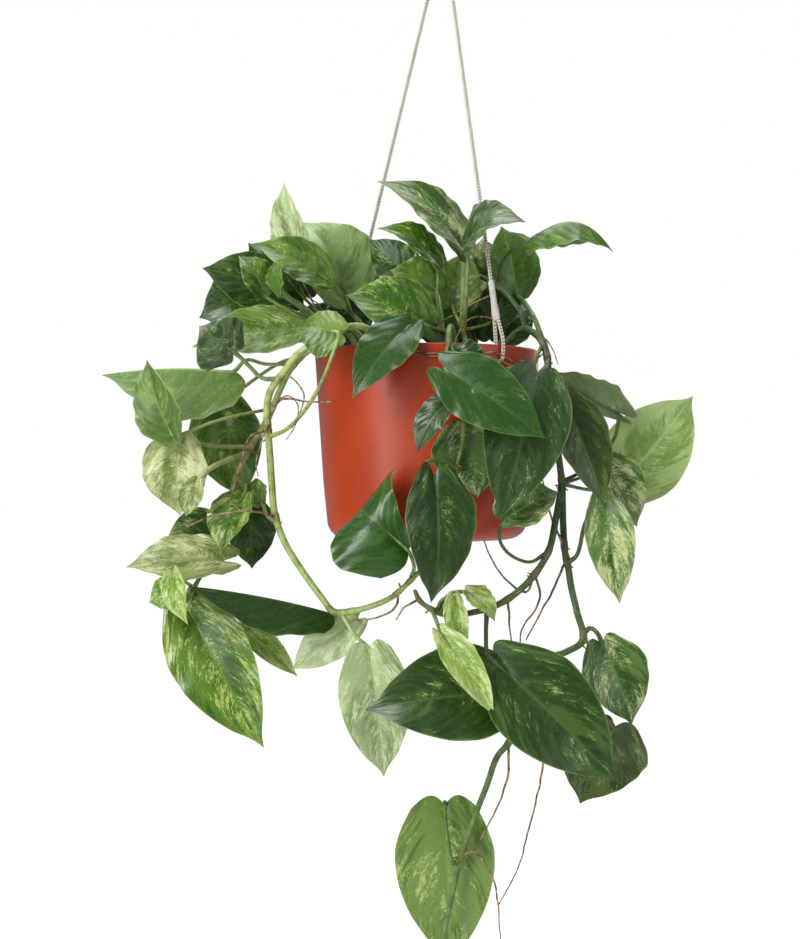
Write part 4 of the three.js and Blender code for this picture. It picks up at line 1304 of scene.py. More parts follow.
def planting() -> tuple[Vine, ...]:
    """Lay out every rooted plant of the pot.

    A stalk's points run from its stem to the base of its blade.

    Returns:
        The vines, those at the back last.
    """
    return (
        # Over the rim at the left, round under the pot and up in front of it.
        Vine(name="vine_left_garland", tone=(178, 196, 120), stems=(
            Stem(thick=2.7, soil=(-22, -38), route=(
                (380, 338, -50), (362, 327, -55), (343, 328, -58), (318, 340, -60), (296, 356, -55),
                (284, 372, -50), (270, 392, -45), (267, 412, -42), (268, 431, -40), (270, 456, -38),
                (272, 486, -38), (275, 515, -40), (285, 543, -45), (303, 572, -52), (322, 598, -60),
                (334, 612, -64), (352, 611, -70), (372, 606, -76), (392, 597, -82), (413, 578, -90),
                (428, 563, -92),
            )),
        ), leaves=(
            Leaf((338, 332, -78), (296, 329, -70), 36, (-0.1, -0.9, 0.35), Look.LIGHT, fold=-16,
                 arch=3, lobe=0.2, thick=1.4,
                 stalk=((271, 436, -41), (287, 429, -50), (312, 400, -68), (330, 362, -82))),
            Leaf((231, 350, -68), (199, 326, -78), 42, (-0.3, -0.9, 0.2), Look.ASH, fold=-8,
                 lobe=0.22, thick=1.5,
                 stalk=((279, 379, -48), (262, 378, -50), (250, 367, -56), (240, 357, -62))),
            Leaf((328, 612, -64), (188, 586, -69), 52, (0, -0.1, 1), Look.SHADE, fold=-48, arch=2,
                 lobe=0.06),
            Leaf((356, 620, -54), (292, 670, -44), 30, (-0.2, -0.95, 0.1), Look.PALE, wave=3,
                 waves=2, stalk=((352, 611, -69),)),
            Leaf((243, 624, -28), (298, 677, -30), 20, (-0.3, -0.8, 0.5), Look.YOUNG, fold=24,
                 stalk=((333, 613, -62), (300, 618, -34), (262, 620, -29))),
            Leaf((369, 649, -70), (384, 777, -58), 48, (0.1, -0.95, 0.2), Look.PALE, fold=14,
                 arch=8, lobe=0.07, thick=1.3, stalk=((341, 612, -66), (354, 634, -70))),
            Leaf((408, 551, -100), (361, 513, -64), 72, (-0.6, -0.5, 0.6), Look.PLAIN, corner=True,
                 fold=4, arch=22, thick=1.3, stalk=((411, 579, -89), (414, 566, -97))),
            Leaf((262, 503, -34), (256, 478, -26), 22, (-0.2, -0.8, -0.5), Look.LIGHT,
                 stalk=((276, 521, -41), (268, 517, -38))),
        ), roots=(
            ((268, 424, -41), (280, 400, -44), (306, 402, -56), (331, 402, -74)),
            ((268, 430, -40), (250, 437, -46), (240, 465, -50), (230, 501, -52)),
            ((276, 517, -40), (250, 511, -64), (215, 515, -68), (186, 527, -72)),
            ((398, 592, -84), (397, 604, -84), (387, 614, -82), (366, 620, -80)),
        )),
        # Down the left side, with a bunch of pale and marbled leaves.
        Vine(name="vine_left_bunch", tone=(170, 186, 122), stems=(
            Stem(thick=2.4, soil=(-36, -26), route=(
                (352, 330, -42), (338, 335, -48), (322, 344, -49), (304, 354, -44), (290, 370, -36),
                (280, 390, -28), (271, 411, -22), (261, 430, -18), (250, 448, -20), (240, 467, -24),
                (234, 487, -28), (230, 510, -27), (222, 535, -29), (208, 562, -34), (194, 588, -46),
                (186, 602, -54),
            )),
        ), leaves=(
            Leaf((234, 371, -30), (102, 375, -34), 78, (0, -0.1, 1), Look.SAGE, fold=-60, arch=3,
                 lobe=0.08, thick=1.3, stalk=((294, 364, -38), (265, 364, -30), (246, 360, -28))),
            Leaf((173, 436, -66), (147, 360, -70), 38, (-0.5, -0.8, 0.1), Look.LIGHT, fold=18,
                 arch=4,
                 stalk=((270, 409, -22), (235, 416, -44), (210, 423, -58), (190, 431, -64))),
            Leaf((222, 402, -6), (242, 500, 4), 52, (-0.1, -0.95, 0.25), Look.GREEN, arch=5,
                 thick=1.3,
                 stalk=((299, 358, -41), (282, 362, -26), (262, 374, -16), (240, 390, -10))),
            Leaf((180, 440, -50), (180, 516, -44), 48, (-0.2, -0.95, 0.1), Look.CREAM, fold=14,
                 wave=3, thick=1.5, stalk=((251, 447, -20), (215, 446, -42), (196, 443, -50))),
            Leaf((198, 481, -70), (186, 517, -68), 18, (-0.1, -0.95, 0.1), Look.CREAM, fold=24,
                 thick=1.9, stalk=((247, 453, -21), (230, 459, -48), (208, 470, -66))),
            Leaf((220, 533, -18), (163, 546, -22), 40, (0, -0.95, 0.1), Look.MARBLED, wave=2,
                 stalk=((226, 524, -28),)),
            Leaf((242, 498, -42), (221, 553, -56), 33, (-0.35, -0.85, 0.4), Look.BRIGHT, arch=5,
                 stalk=((236, 480, -26), (246, 486, -34))),
            Leaf((247, 503, -16), (252, 569, -12), 36, (0.2, -0.95, -0.1), Look.DARK,
                 stalk=((234, 487, -28), (243, 490, -20))),
            Leaf((222, 561, -44), (126, 567, -52), 38, (0, -0.8, 0.6), Look.CREAM, fold=8, wave=2.5,
                 lobe=0.2, stalk=((212, 554, -32), (222, 554, -38))),
            Leaf((178, 594, -64), (149, 603, -66), 24, (-0.1, -0.9, 0.3), Look.YOUNG, fold=16,
                 stalk=((190, 595, -50),)),
            Leaf((174, 574, -74), (188, 625, -88), 20, (-0.3, -0.9, 0.2), Look.YOUNG, fold=26,
                 stalk=((194, 588, -46), (180, 578, -62))),
            Leaf((189, 610, -44), (264, 748, -62), 56, (-0.1, -0.95, 0.25), Look.BRIGHT, fold=10,
                 arch=7, thick=1.3, stalk=((192, 592, -48),)),
        )),
        # The low leaves of the crown at the left.
        Vine(name="vine_crown_left", tone=(120, 150, 74), stems=(
            Stem(thick=2.3, soil=(-46, -10), route=(
                (350, 336, -16), (338, 330, -22), (326, 325, -28), (314, 321, -32), (304, 326, -35),
            )),
        ), leaves=(
            Leaf((299, 329, -38), (192, 347, -52), 42, (-0.1, -0.85, 0.5), Look.LIGHT, arch=5,
                 thick=1.5, stalk=((308, 324, -34),)),
            Leaf((262, 293, -40), (238, 256, -42), 26, (0.4, -0.85, 0.3), Look.GREEN, fold=18,
                 stalk=((309, 323, -34), (285, 309, -38))),
            Leaf((283, 294, -56), (293, 255, -60), 24, (-0.85, -0.5, 0.1), Look.LIGHT, fold=20,
                 stalk=((316, 320, -32), (298, 306, -46))),
            Leaf((284, 292, -16), (202, 268, -26), 44, (-0.2, -0.92, 0.3), Look.DARK, arch=4,
                 stalk=((315, 320, -31), (298, 305, -21))),
            Leaf((268, 294, -4), (199, 318, -10), 52, (-0.2, -0.95, 0.1), Look.DARK,
                 stalk=((322, 322, -29), (294, 300, -9))),
            Leaf((302, 296, 10), (248, 243, 12), 50, (0.1, -0.98, 0.1), Look.DARK, arch=3,
                 stalk=((326, 325, -28), (314, 308, 0))),
        ), roots=(
            ((328, 326, -28), (312, 300, -32), (301, 279, -34)),
        )),
        # The upright leaf and the broad pale leaf behind them.
        Vine(name="vine_crown_left_rear", tone=(132, 158, 84), stems=(
            Stem(thick=2.2, soil=(-30, 4), route=(
                (366, 330, -2), (356, 318, -4), (346, 308, -6),
            )),
        ), leaves=(
            Leaf((326, 279, -36), (254, 243, -44), 34, (-0.3, -0.8, 0.5), Look.GREEN, fold=20,
                 arch=5, thick=1.3, stalk=((350, 312, -5), (343, 296, -24))),
            Leaf((346, 297, 10), (300, 222, 26), 64, (0.3, -0.85, 0.4), Look.SAGE, fold=12, arch=12,
                 thick=1.5, stalk=((350, 312, -5),)),
            Leaf((303, 262, -16), (284, 183, -22), 32, (-0.5, -0.85, 0.1), Look.PALE, fold=24,
                 thick=1.3, stalk=((348, 310, -6), (328, 288, -12))),
            Leaf((352, 340, 20), (330, 292, 30), 42, (0.1, -0.95, 0.2), Look.DEEP,
                 stalk=((360, 372, 8), (355, 354, 14))),
            Leaf((326, 336, 8), (300, 308, 14), 32, (-0.1, -0.95, 0.2), Look.DARK,
                 stalk=((338, 372, 0), (332, 352, 4))),
        )),
        # The leaves over the middle of the rim.
        Vine(name="vine_crown_middle", tone=(138, 166, 86), stems=(
            Stem(thick=2.2, soil=(10, -34), route=(
                (446, 333, -40), (438, 329, -44), (430, 327, -48),
            )),
        ), leaves=(
            Leaf((409, 326, -70), (352, 399, -100), 36, (-0.15, -0.9, 0.35), Look.PLAIN, fold=8,
                 arch=7, stalk=((438, 329, -44), (424, 326, -58))),
            Leaf((425, 324, -54), (346, 295, -58), 46, (-0.1, -0.85, 0.45), Look.BRIGHT, arch=6,
                 stalk=((436, 329, -45),)),
            Leaf((438, 268, -38), (377, 228, -50), 30, (0.35, -0.7, 0.6), Look.BRIGHT, fold=14,
                 arch=9, stalk=((440, 330, -42), (437, 300, -40))),
            Leaf((414, 282, -6), (369, 239, 2), 32, (-0.2, -0.95, 0.1), Look.DARK, arch=3,
                 stalk=((440, 330, -42), (430, 306, -24))),
            Leaf((436, 290, -22), (390, 270, -26), 36, (-0.1, -0.9, 0.4), Look.GREEN, arch=4,
                 stalk=((443, 332, -40), (441, 308, -30))),
            Leaf((446, 340, 14), (420, 290, 22), 40, (0.1, -0.95, 0.2), Look.DEEP,
                 stalk=((452, 372, -4), (450, 352, 6))),
        )),
        # The tall leaves of the crown at the right.
        Vine(name="vine_crown_right", tone=(156, 182, 98), stems=(
            Stem(thick=2.2, soil=(30, -26), route=(
                (463, 330, -28), (463, 322, -29),
            )),
        ), leaves=(
            Leaf((463, 252, -30), (377, 181, -40), 44, (0.4, -0.7, 0.6), Look.MARBLED, fold=12,
                 arch=11, thick=2, stalk=((462, 327, -28), (463, 290, -30))),
            Leaf((469, 247, -48), (526, 222, -64), 45, (-0.2, -0.65, 0.75), Look.ASH, fold=10,
                 arch=13, thick=1.6, stalk=((464, 328, -28), (467, 285, -42))),
            Leaf((452, 304, -8), (464, 252, -4), 34, (0, -0.95, 0.2), Look.LIGHT, arch=4,
                 stalk=((462, 328, -28), (456, 316, -18))),
            Leaf((490, 322, 2), (512, 276, 10), 30, (0.1, -0.95, 0.1), Look.DARK,
                 stalk=((464, 330, -28), (477, 327, -13))),
            Leaf((476, 338, 24), (458, 284, 34), 44, (-0.1, -0.95, 0.2), Look.DARK,
                 stalk=((474, 372, 12), (476, 352, 18))),
            Leaf((500, 340, 14), (524, 300, 22), 34, (0.1, -0.95, 0.2), Look.DEEP,
                 stalk=((494, 372, 0), (497, 354, 8))),
        )),
        # Over the rim at the right, the low bunch and the trail to the lowest leaf.
        Vine(name="vine_right_trail", tone=(64, 92, 50), shoot=(104, 130, 72), stems=(
            Stem(thick=2.6, soil=(46, -14), route=(
                (520, 330, -28), (534, 333, -42), (543, 343, -49), (547, 356, -51), (549, 382, -48),
                (553, 420, -44), (558, 452, -42), (562, 484, -42), (563, 520, -42), (565, 552, -44),
                (568, 566, -45), (571, 586, -46), (577, 612, -48), (583, 640, -50), (566, 652, -55),
                (544, 660, -60), (528, 684, -64), (518, 715, -66), (509, 742, -62), (497, 757, -56),
                (487, 785, -50), (478, 808, -47), (468, 835, -44), (461, 857, -42), (455, 882, -42),
                (449, 910, -43), (443, 939, -44), (440, 958, -44),
            )),
            Stem(thick=2.5, route=(
                (562, 484, -42), (556, 518, -50), (549, 550, -58), (535, 574, -64), (515, 594, -70),
                (495, 606, -74), (475, 612, -77), (450, 615, -80), (433, 610, -82), (420, 601, -83),
                (415, 591, -84),
            )),
            Stem(thick=2, route=(
                (524, 327, -30), (521, 314, -26), (509, 297, -20), (494, 284, -12), (481, 277, -8),
                (468, 274, -2), (452, 278, 3), (438, 286, 8),
            )),
        ), leaves=(
            Leaf((530, 240, -48), (613, 252, -56), 42, (0, -0.1, 1), Look.GREEN, fold=-46, arch=16,
                 lobe=0.08, thick=1.4, stalk=((497, 286, -13), (502, 262, -30), (514, 249, -44))),
            Leaf((516, 292, -8), (501, 226, 0), 38, (0.2, -0.95, 0.2), Look.GREEN, arch=5,
                 thick=1.9, stalk=((543, 343, -49), (536, 322, -40), (524, 302, -20))),
            Leaf((490, 276, 6), (482, 238, 10), 22, (-0.2, -0.95, 0.1), Look.MARBLED,
                 stalk=((494, 284, -12),)),
            Leaf((538, 376, -84), (500, 521, -100), 56, (0.12, -0.95, 0.2), Look.DEEP, fold=8,
                 arch=5, lobe=0.08, thick=1.5, stalk=((547, 358, -51), (546, 366, -66))),
            Leaf((530, 376, -72), (494, 408, -80), 26, (-0.1, -0.95, 0.2), Look.MARBLED, fold=4,
                 lobe=0.08, stalk=((543, 343, -49), (536, 360, -60))),
            Leaf((617, 411, -28), (555, 371, -22), 40, (0.1, 0.5, 0.85), Look.ASH, fold=16, arch=-3,
                 lobe=0.26, thick=1.3,
                 stalk=((562, 482, -42), (584, 470, -38), (604, 453, -34), (616, 434, -30))),
            Leaf((620, 488, -12), (693, 396, -4), 60, (0.1, -0.97, 0.15), Look.SMOOTH, fold=6,
                 arch=5, thick=1.3, stalk=((562, 484, -42), (592, 490, -24))),
            Leaf((603, 463, -46), (637, 527, -42), 38, (0.1, -0.95, 0.15), Look.MARBLED, arch=4,
                 stalk=((562, 484, -42), (584, 476, -45))),
            Leaf((565, 402, -62), (604, 506, -76), 38, (0.2, -0.95, 0.2), Look.OLIVE, fold=10,
                 arch=4, stalk=((552, 415, -44), (558, 406, -54))),
            Leaf((604, 502, -62), (620, 604, -62), 33, (-0.15, -0.95, 0.15), Look.MARBLED, fold=12,
                 arch=4, thick=1.5,
                 stalk=((567, 563, -45), (577, 555, -52), (585, 524, -60), (594, 508, -62))),
            Leaf((505, 519, -80), (559, 492, -74), 42, (0, -0.75, 0.65), Look.MARBLED, fold=22,
                 arch=2, thick=1.2,
                 stalk=((546, 553, -58), (530, 562, -63), (508, 553, -70), (499, 536, -76))),
            Leaf((500, 667, -94), (617, 782, -98), 64, (0.05, -0.95, 0.25), Look.DARK, fold=8,
                 arch=10, thick=1.5, stalk=((487, 609, -75), (486, 635, -80), (488, 656, -88))),
            Leaf((511, 692, -76), (365, 710, -84), 64, (-0.1, -0.9, 0.35), Look.DARK, fold=8,
                 arch=9, thick=1.4, stalk=((522, 701, -66),)),
            Leaf((603, 646, -46), (632, 725, -52), 48, (0.15, -0.9, 0.35), Look.MARBLED, arch=5,
                 thick=1.6, stalk=((582, 636, -50), (590, 628, -49), (598, 634, -47))),
            Leaf((614, 728, -40), (580, 804, -32), 62, (0.1, -0.95, -0.2), Look.OLIVE, arch=-4,
                 thick=1.3,
                 stalk=((583, 640, -50), (590, 646, -64), (592, 683, -68), (602, 714, -54))),
            Leaf((443, 636, -96), (495, 717, -108), 24, (0.2, -0.95, 0.1), Look.YOUNG, fold=24,
                 thick=1.3, stalk=((432, 609, -82), (436, 620, -90))),
            Leaf((455, 597, -86), (467, 650, -86), 18, (-0.3, -0.9, 0.1), Look.YOUNG, fold=26,
                 stalk=((437, 612, -81), (442, 600, -84))),
            Leaf((466, 592, -82), (495, 622, -84), 18, (0.3, -0.8, 0.5), Look.YOUNG, fold=20,
                 stalk=((440, 613, -81), (449, 594, -81))),
            Leaf((445, 806, -30), (450, 966, -24), 68, (-0.05, -0.98, 0.1), Look.LIGHT, fold=6,
                 arch=5, lobe=0.07, thick=1.4,
                 stalk=((461, 857, -42), (454, 864, -45), (448, 840, -46), (445, 815, -42),
                        (445, 802, -35))),
            Leaf((439, 960, -48), (428, 996, -52), 20, (-0.2, -0.9, 0.2), Look.YOUNG, fold=26,
                 stalk=((440, 956, -44),)),
        ), roots=(
            ((509, 744, -62), (507, 780, -58), (492, 818, -50), (473, 852, -44)),
            ((462, 855, -42), (474, 852, -46), (493, 880, -50), (501, 942, -52)),
            ((535, 574, -64), (540, 600, -58), (522, 628, -54), (520, 644, -54)),
            ((566, 560, -45), (553, 590, -50), (540, 614, -54), (526, 640, -56)),
            ((528, 684, -64), (545, 722, -62), (541, 778, -58), (531, 820, -55), (518, 868, -52),
             (498, 906, -50)),
            ((533, 576, -65), (527, 592, -67), (506, 580, -69), (491, 558, -71), (483, 538, -73)),
            ((564, 546, -44), (553, 522, -50), (541, 474, -58)),
            ((508, 599, -71), (509, 618, -73), (512, 644, -77)),
            ((419, 599, -83), (410, 604, -85), (403, 609, -87), (396, 620, -88)),
        )),
        # Down the front of the pot.
        Vine(name="vine_front", tone=(98, 134, 62), stems=(
            Stem(thick=1.9, soil=(20, -50), route=(
                (452, 327, -70), (449, 330, -82), (449, 342, -87), (452, 364, -89), (458, 392, -89),
                (463, 420, -88), (462, 445, -86), (456, 468, -85),
            )),
        ), leaves=(
            Leaf((446, 370, -104), (546, 439, -114), 44, (0, -0.95, 0.24), Look.PLAIN, fold=6,
                 arch=5, thick=1.3, stalk=((449, 342, -87), (446, 354, -95))),
            Leaf((455, 352, -92), (486, 369, -92), 20, (0, -0.95, 0.3), Look.DEEP,
                 stalk=((449, 343, -87),)),
            Leaf((449, 400, -96), (417, 453, -96), 22, (-0.5, -0.85, 0.1), Look.ASH, fold=12,
                 stalk=((457, 386, -89),)),
            Leaf((467, 428, -79), (478, 498, -77), 50, (0.05, -0.98, 0.05), Look.MARBLED, fold=2,
                 arch=2, wave=1, stalk=((463, 424, -87),)),
            Leaf((434, 478, -103), (431, 603, -102.6), 52, (0.45, -0.87, 0.15), Look.DARK, fold=16,
                 arch=8, thick=1.3,
                 stalk=((456, 466, -85), (440, 459, -92), (427, 462, -98), (425, 470, -102))),
        )),
        # The picture doesn't show the back, which these two fill.
        back_vine(1, (-20, 32), 112, 96, 3),
        back_vine(2, (30, 28), 66, 84, 12),
    )


@dataclass(frozen=True)
class DryStrands:
    """Old brown runners and roots that lie in the crown, over the rim and on the pot's front."""

    routes: tuple[tuple[Pixel, ...], ...] = (
        ((489, 296, -20), (470, 305, -30), (448, 318, -40), (424, 332, -55), (408, 343, -72)),
        ((500, 322, -30), (484, 317, -40), (468, 320, -55), (458, 334, -70), (455, 345, -79.6),
         (456, 357, -77)),
        ((404, 344, -76), (412, 349, -79.3), (428, 353, -79.4), (447, 352, -77.6), (460, 345, -75)),
        ((405, 346, -78), (414, 352, -79.2), (430, 356, -79.1), (447, 355, -77.4)),
        ((470, 352, -75.5), (484, 358, -71.6), (500, 361, -65.5), (515, 366, -56.5),
         (524, 362, -51)),
        ((478, 356, -73.3), (492, 352, -69.2), (506, 357, -62.5), (518, 365, -55)),
        ((326, 322, -20), (318, 304, -18), (305, 296, -18), (300, 286, -20)),
        ((284, 372, -50), (298, 384, -56), (304, 396, -60), (300, 412, -60), (292, 428, -58)),
        ((276, 400, -46), (290, 396, -56), (298, 406, -60), (296, 424, -58), (286, 440, -54)),
        ((270, 420, -42), (262, 440, -46), (256, 462, -48), (258, 476, -50)),
        ((530, 333, -40), (544, 338, -46), (553, 350, -48), (558, 364, -50)),
        ((547, 350, -50), (538, 358, -54), (530, 362, -56), (520, 360, -55)),
    )
    thick: float = 0.55

    def build(self, finish: Material) -> None:
        """Build every strand, thinner towards its end.

        Args:
            finish: The skin of roots.
        """
        shell = Shell()
        for k, spots in enumerate(self.routes):
            centres = Route([seen(spot) for spot in spots]).stations(1.6)
            last = len(centres) - 1
            shift = Vector((k, 0, 0))
            places = [c + noise.noise_vector(c * 0.2 + shift) * 0.5 * math.sin(math.pi * i / last)
                      for i, c in enumerate(centres)]
            radii = [self.thick * (1.1 - 0.5 * i / last) * (1 + 0.15 * math.sin(i * 1.7 + k))
                     for i in range(last + 1)]
            shell.sweep(places, radii, 7)
        shell.finish("dry_strands", [finish], [], "foliage")


@dataclass(frozen=True)
class Pot:
    """The round moulded pot: a slight taper, a rounded foot, a rolled lip and its holes."""

    height: float = POT_HEIGHT
    wall: float = POT_WALL
    floor: float = 3.0
    foot_round: float = 13.0
    drain_ring: float = 40.0
    drain_radius: float = 4.0
    drain_count: int = 5
    eye_height: float = EYE_HOLE_HEIGHT
    eye_radius: float = 2.9
    eye_angles: tuple[float, float] = EYE_HOLE_ANGLES
    foot_ring: float = 30.0
    crease: float = 40.0
    weld: float = 2e-6
    sides: int = 120

    def arc(self, middle: tuple[float, float], radius: float, start: float, stop: float,
            count: int) -> list[tuple[float, float]]:
        """Round a corner of the profile.

        Args:
            middle: The corner's middle, as radius and height.
            radius: Its radius.
            start: The angle that it starts at, in degrees.
            stop: The angle that it stops at.
            count: The steps between them.

        Returns:
            Its points, as radius and height.
        """
        turns = [math.radians(start + (stop - start) * i / count) for i in range(count + 1)]
        return [(middle[0] + radius * math.cos(t), middle[1] + radius * math.sin(t)) for t in turns]

    def profile(self) -> list[tuple[float, float]]:
        """Draw the wall's section from the middle of the foot, up, round the lip and back.

        Returns:
            Its points, as radius and height.
        """
        lip = self.wall / 2
        outside = self.arc((POT_FOOT_RADIUS - self.foot_round, self.foot_round),
                           self.foot_round, -90, 0, 10)
        rim = self.arc((POT_RIM_RADIUS - lip, self.height - lip), lip, 0, 180, 8)
        inner_round = self.foot_round - self.wall
        inside = self.arc((POT_FOOT_RADIUS - self.foot_round, self.floor + inner_round),
                          inner_round, 0, -90, 8)
        rings = [(0.0, 0.0), (self.foot_ring, 0.0)] + outside
        rings += [(pot_radius(z), z) for z in (40.0, 70.0, 100.0, 122.0)] + rim
        rings += [(pot_radius(z) - self.wall, z) for z in (118.0, 80.0, 40.0)] + inside
        return rings + [(self.foot_ring, self.floor), (0.0, self.floor)]

    def cutters(self) -> Piece:
        """Make the rods that the drain holes and the eyes' holes are cut with.

        Returns:
            The rods, as one object.
        """
        mesh = bmesh.new()
        for i in range(self.drain_count):
            turn = Matrix.Rotation(2 * math.pi * i / self.drain_count, 4, "Z")
            place = PLACE @ turn @ Matrix.Translation((self.drain_ring, 0, 0))
            bmesh.ops.create_cone(mesh, cap_ends=True, segments=32, radius1=self.drain_radius,
                                  radius2=self.drain_radius, depth=24, matrix=place)
        for angle in self.eye_angles:
            turn = Matrix.Rotation(math.radians(angle), 4, "Z")
            reach = Matrix.Translation((pot_radius(self.eye_height) - self.wall / 2, 0,
                                        self.eye_height))
            place = PLACE @ turn @ reach @ Matrix.Rotation(math.pi / 2, 4, "Y")
            bmesh.ops.create_cone(mesh, cap_ends=True, segments=32, radius1=self.eye_radius,
                                  radius2=self.eye_radius, depth=20, matrix=place)
        data = bpy.data.meshes.new("pot_cutters")
        mesh.to_mesh(data)
        mesh.free()
        return place_object("pot_cutters", data)

    def build(self, finish: Material) -> None:
        """Turn the wall, cut its holes and dress it.

        Args:
            finish: The plastic.
        """
        shell = Shell()
        shell.turn(self.profile(), self.sides)
        piece = shell.finish("pot_shell", [finish], ["pot"], "pot", self.crease)
        cutters = self.cutters()
        cut = piece.modifiers.new("holes", "BOOLEAN")
        cut.operation, cut.solver, cut.object = "DIFFERENCE", "EXACT", cutters
        depsgraph = bpy.context.evaluated_depsgraph_get()
        done = bpy.data.meshes.new_from_object(piece.evaluated_get(depsgraph))
        piece.modifiers.clear()
        # The cut leaves a few slivers beside the holes, which are welded shut.
        trim = bmesh.new()
        trim.from_mesh(done)
        bmesh.ops.remove_doubles(trim, verts=trim.verts, dist=self.weld)
        trim.to_mesh(done)
        trim.free()
        piece.data = done
        done.name = "pot_shell"
        done.set_sharp_from_angle(angle=math.radians(self.crease))
        bpy.data.objects.remove(cutters)


@dataclass(frozen=True)
class PottingMix:
    """The fill of the pot: a crumbly crowned top with bark chips and perlite in it."""

    rise: float = 2.0
    edge_drop: float = 3.0
    gap: float = 0.6
    foot_height: float = 4.0
    shoulder: float = 108.0
    flat_top: float = 114.0
    rings: int = 34
    sides: int = 150
    crumbs: int = 520
    seed: int = 31

    def height(self, x: float, y: float) -> float:
        """Find the height of the top, which is crowned in the middle and falls to the wall.

        Args:
            x: The place's distance to the right of the pot's middle.
            y: Its distance behind the pot's middle.

        Returns:
            The height above the pot's foot.
        """
        share = math.hypot(x, y) / (pot_radius(SOIL_TOP) - POT_WALL)
        if share < 0.7:
            fall = self.rise * (1 - share / 0.7)
        else:
            fall = -self.edge_drop * (share - 0.7) / 0.3
        rough = noise.fractal(Vector((x * 0.09, y * 0.09, 4.0)), 0.7, 2.1, 4)
        return SOIL_TOP - 0.6 + fall + 1.1 * rough

    def build(self, peat: Material, bark: Material, perlite: Material) -> None:
        """Build the fill, then the chips and crumbs on it.

        Args:
            peat: The finish of the fill and of its crumbs.
            bark: The finish of the bark chips.
            perlite: The finish of the white grains.
        """
        bed = Shell()
        reach = pot_radius(SOIL_TOP - self.edge_drop) - POT_WALL - self.gap
        foot = pot_radius(10) - POT_WALL - 8
        section = [(0.0, self.foot_height), (foot, self.foot_height),
                   (pot_radius(20) - POT_WALL - self.gap, 20.0), (reach, self.shoulder)]
        section += [(reach * i / self.rings, self.flat_top) for i in range(self.rings, -1, -1)]
        bed.turn(section, self.sides)
        for vert in bed.mesh.verts:
            if vert.co.z > self.flat_top - 1:
                vert.co.z = self.height(vert.co.x, vert.co.y)
        bed.finish("potting_mix_bed", [peat], ["potting_mix"], "potting_mix", 80.0)
        loose = Shell()
        draw = rolls(self.seed)
        for i in range(self.crumbs):
            kind = 2 if i % 9 == 0 else (1 if i % 3 == 0 else 0)
            away = (reach - 3) * math.sqrt(draw())
            turn = 2 * math.pi * draw()
            x, y = away * math.cos(turn), away * math.sin(turn)
            size = (0.5 + 0.9 * draw()) * (1.0, 1.7, 1.0)[kind]
            form = Matrix.Diagonal((size, size * (0.6 + 0.5 * draw()),
                                    size * (0.9, 0.4, 0.8)[kind], 1.0))
            turned = (Matrix.Rotation(6.28 * draw(), 4, "Z")
                      @ Matrix.Rotation(0.7 * draw() - 0.35, 4, "X"))
            place = Matrix.Translation((x, y, self.height(x, y) + size * 0.2)) @ turned @ form
            made = bmesh.ops.create_icosphere(loose.mesh, subdivisions=1, radius=1.0,
                                              matrix=place)["verts"]
            for vert in made:
                vert.co += noise.noise_vector(vert.co * 0.9) * 0.25 * size
            for face in {f for v in made for f in v.link_faces}:
                face.material_index = kind
        loose.finish("potting_mix_crumbs", [peat, bark, perlite], ["potting_mix"],
                     "potting_mix", 25.0)


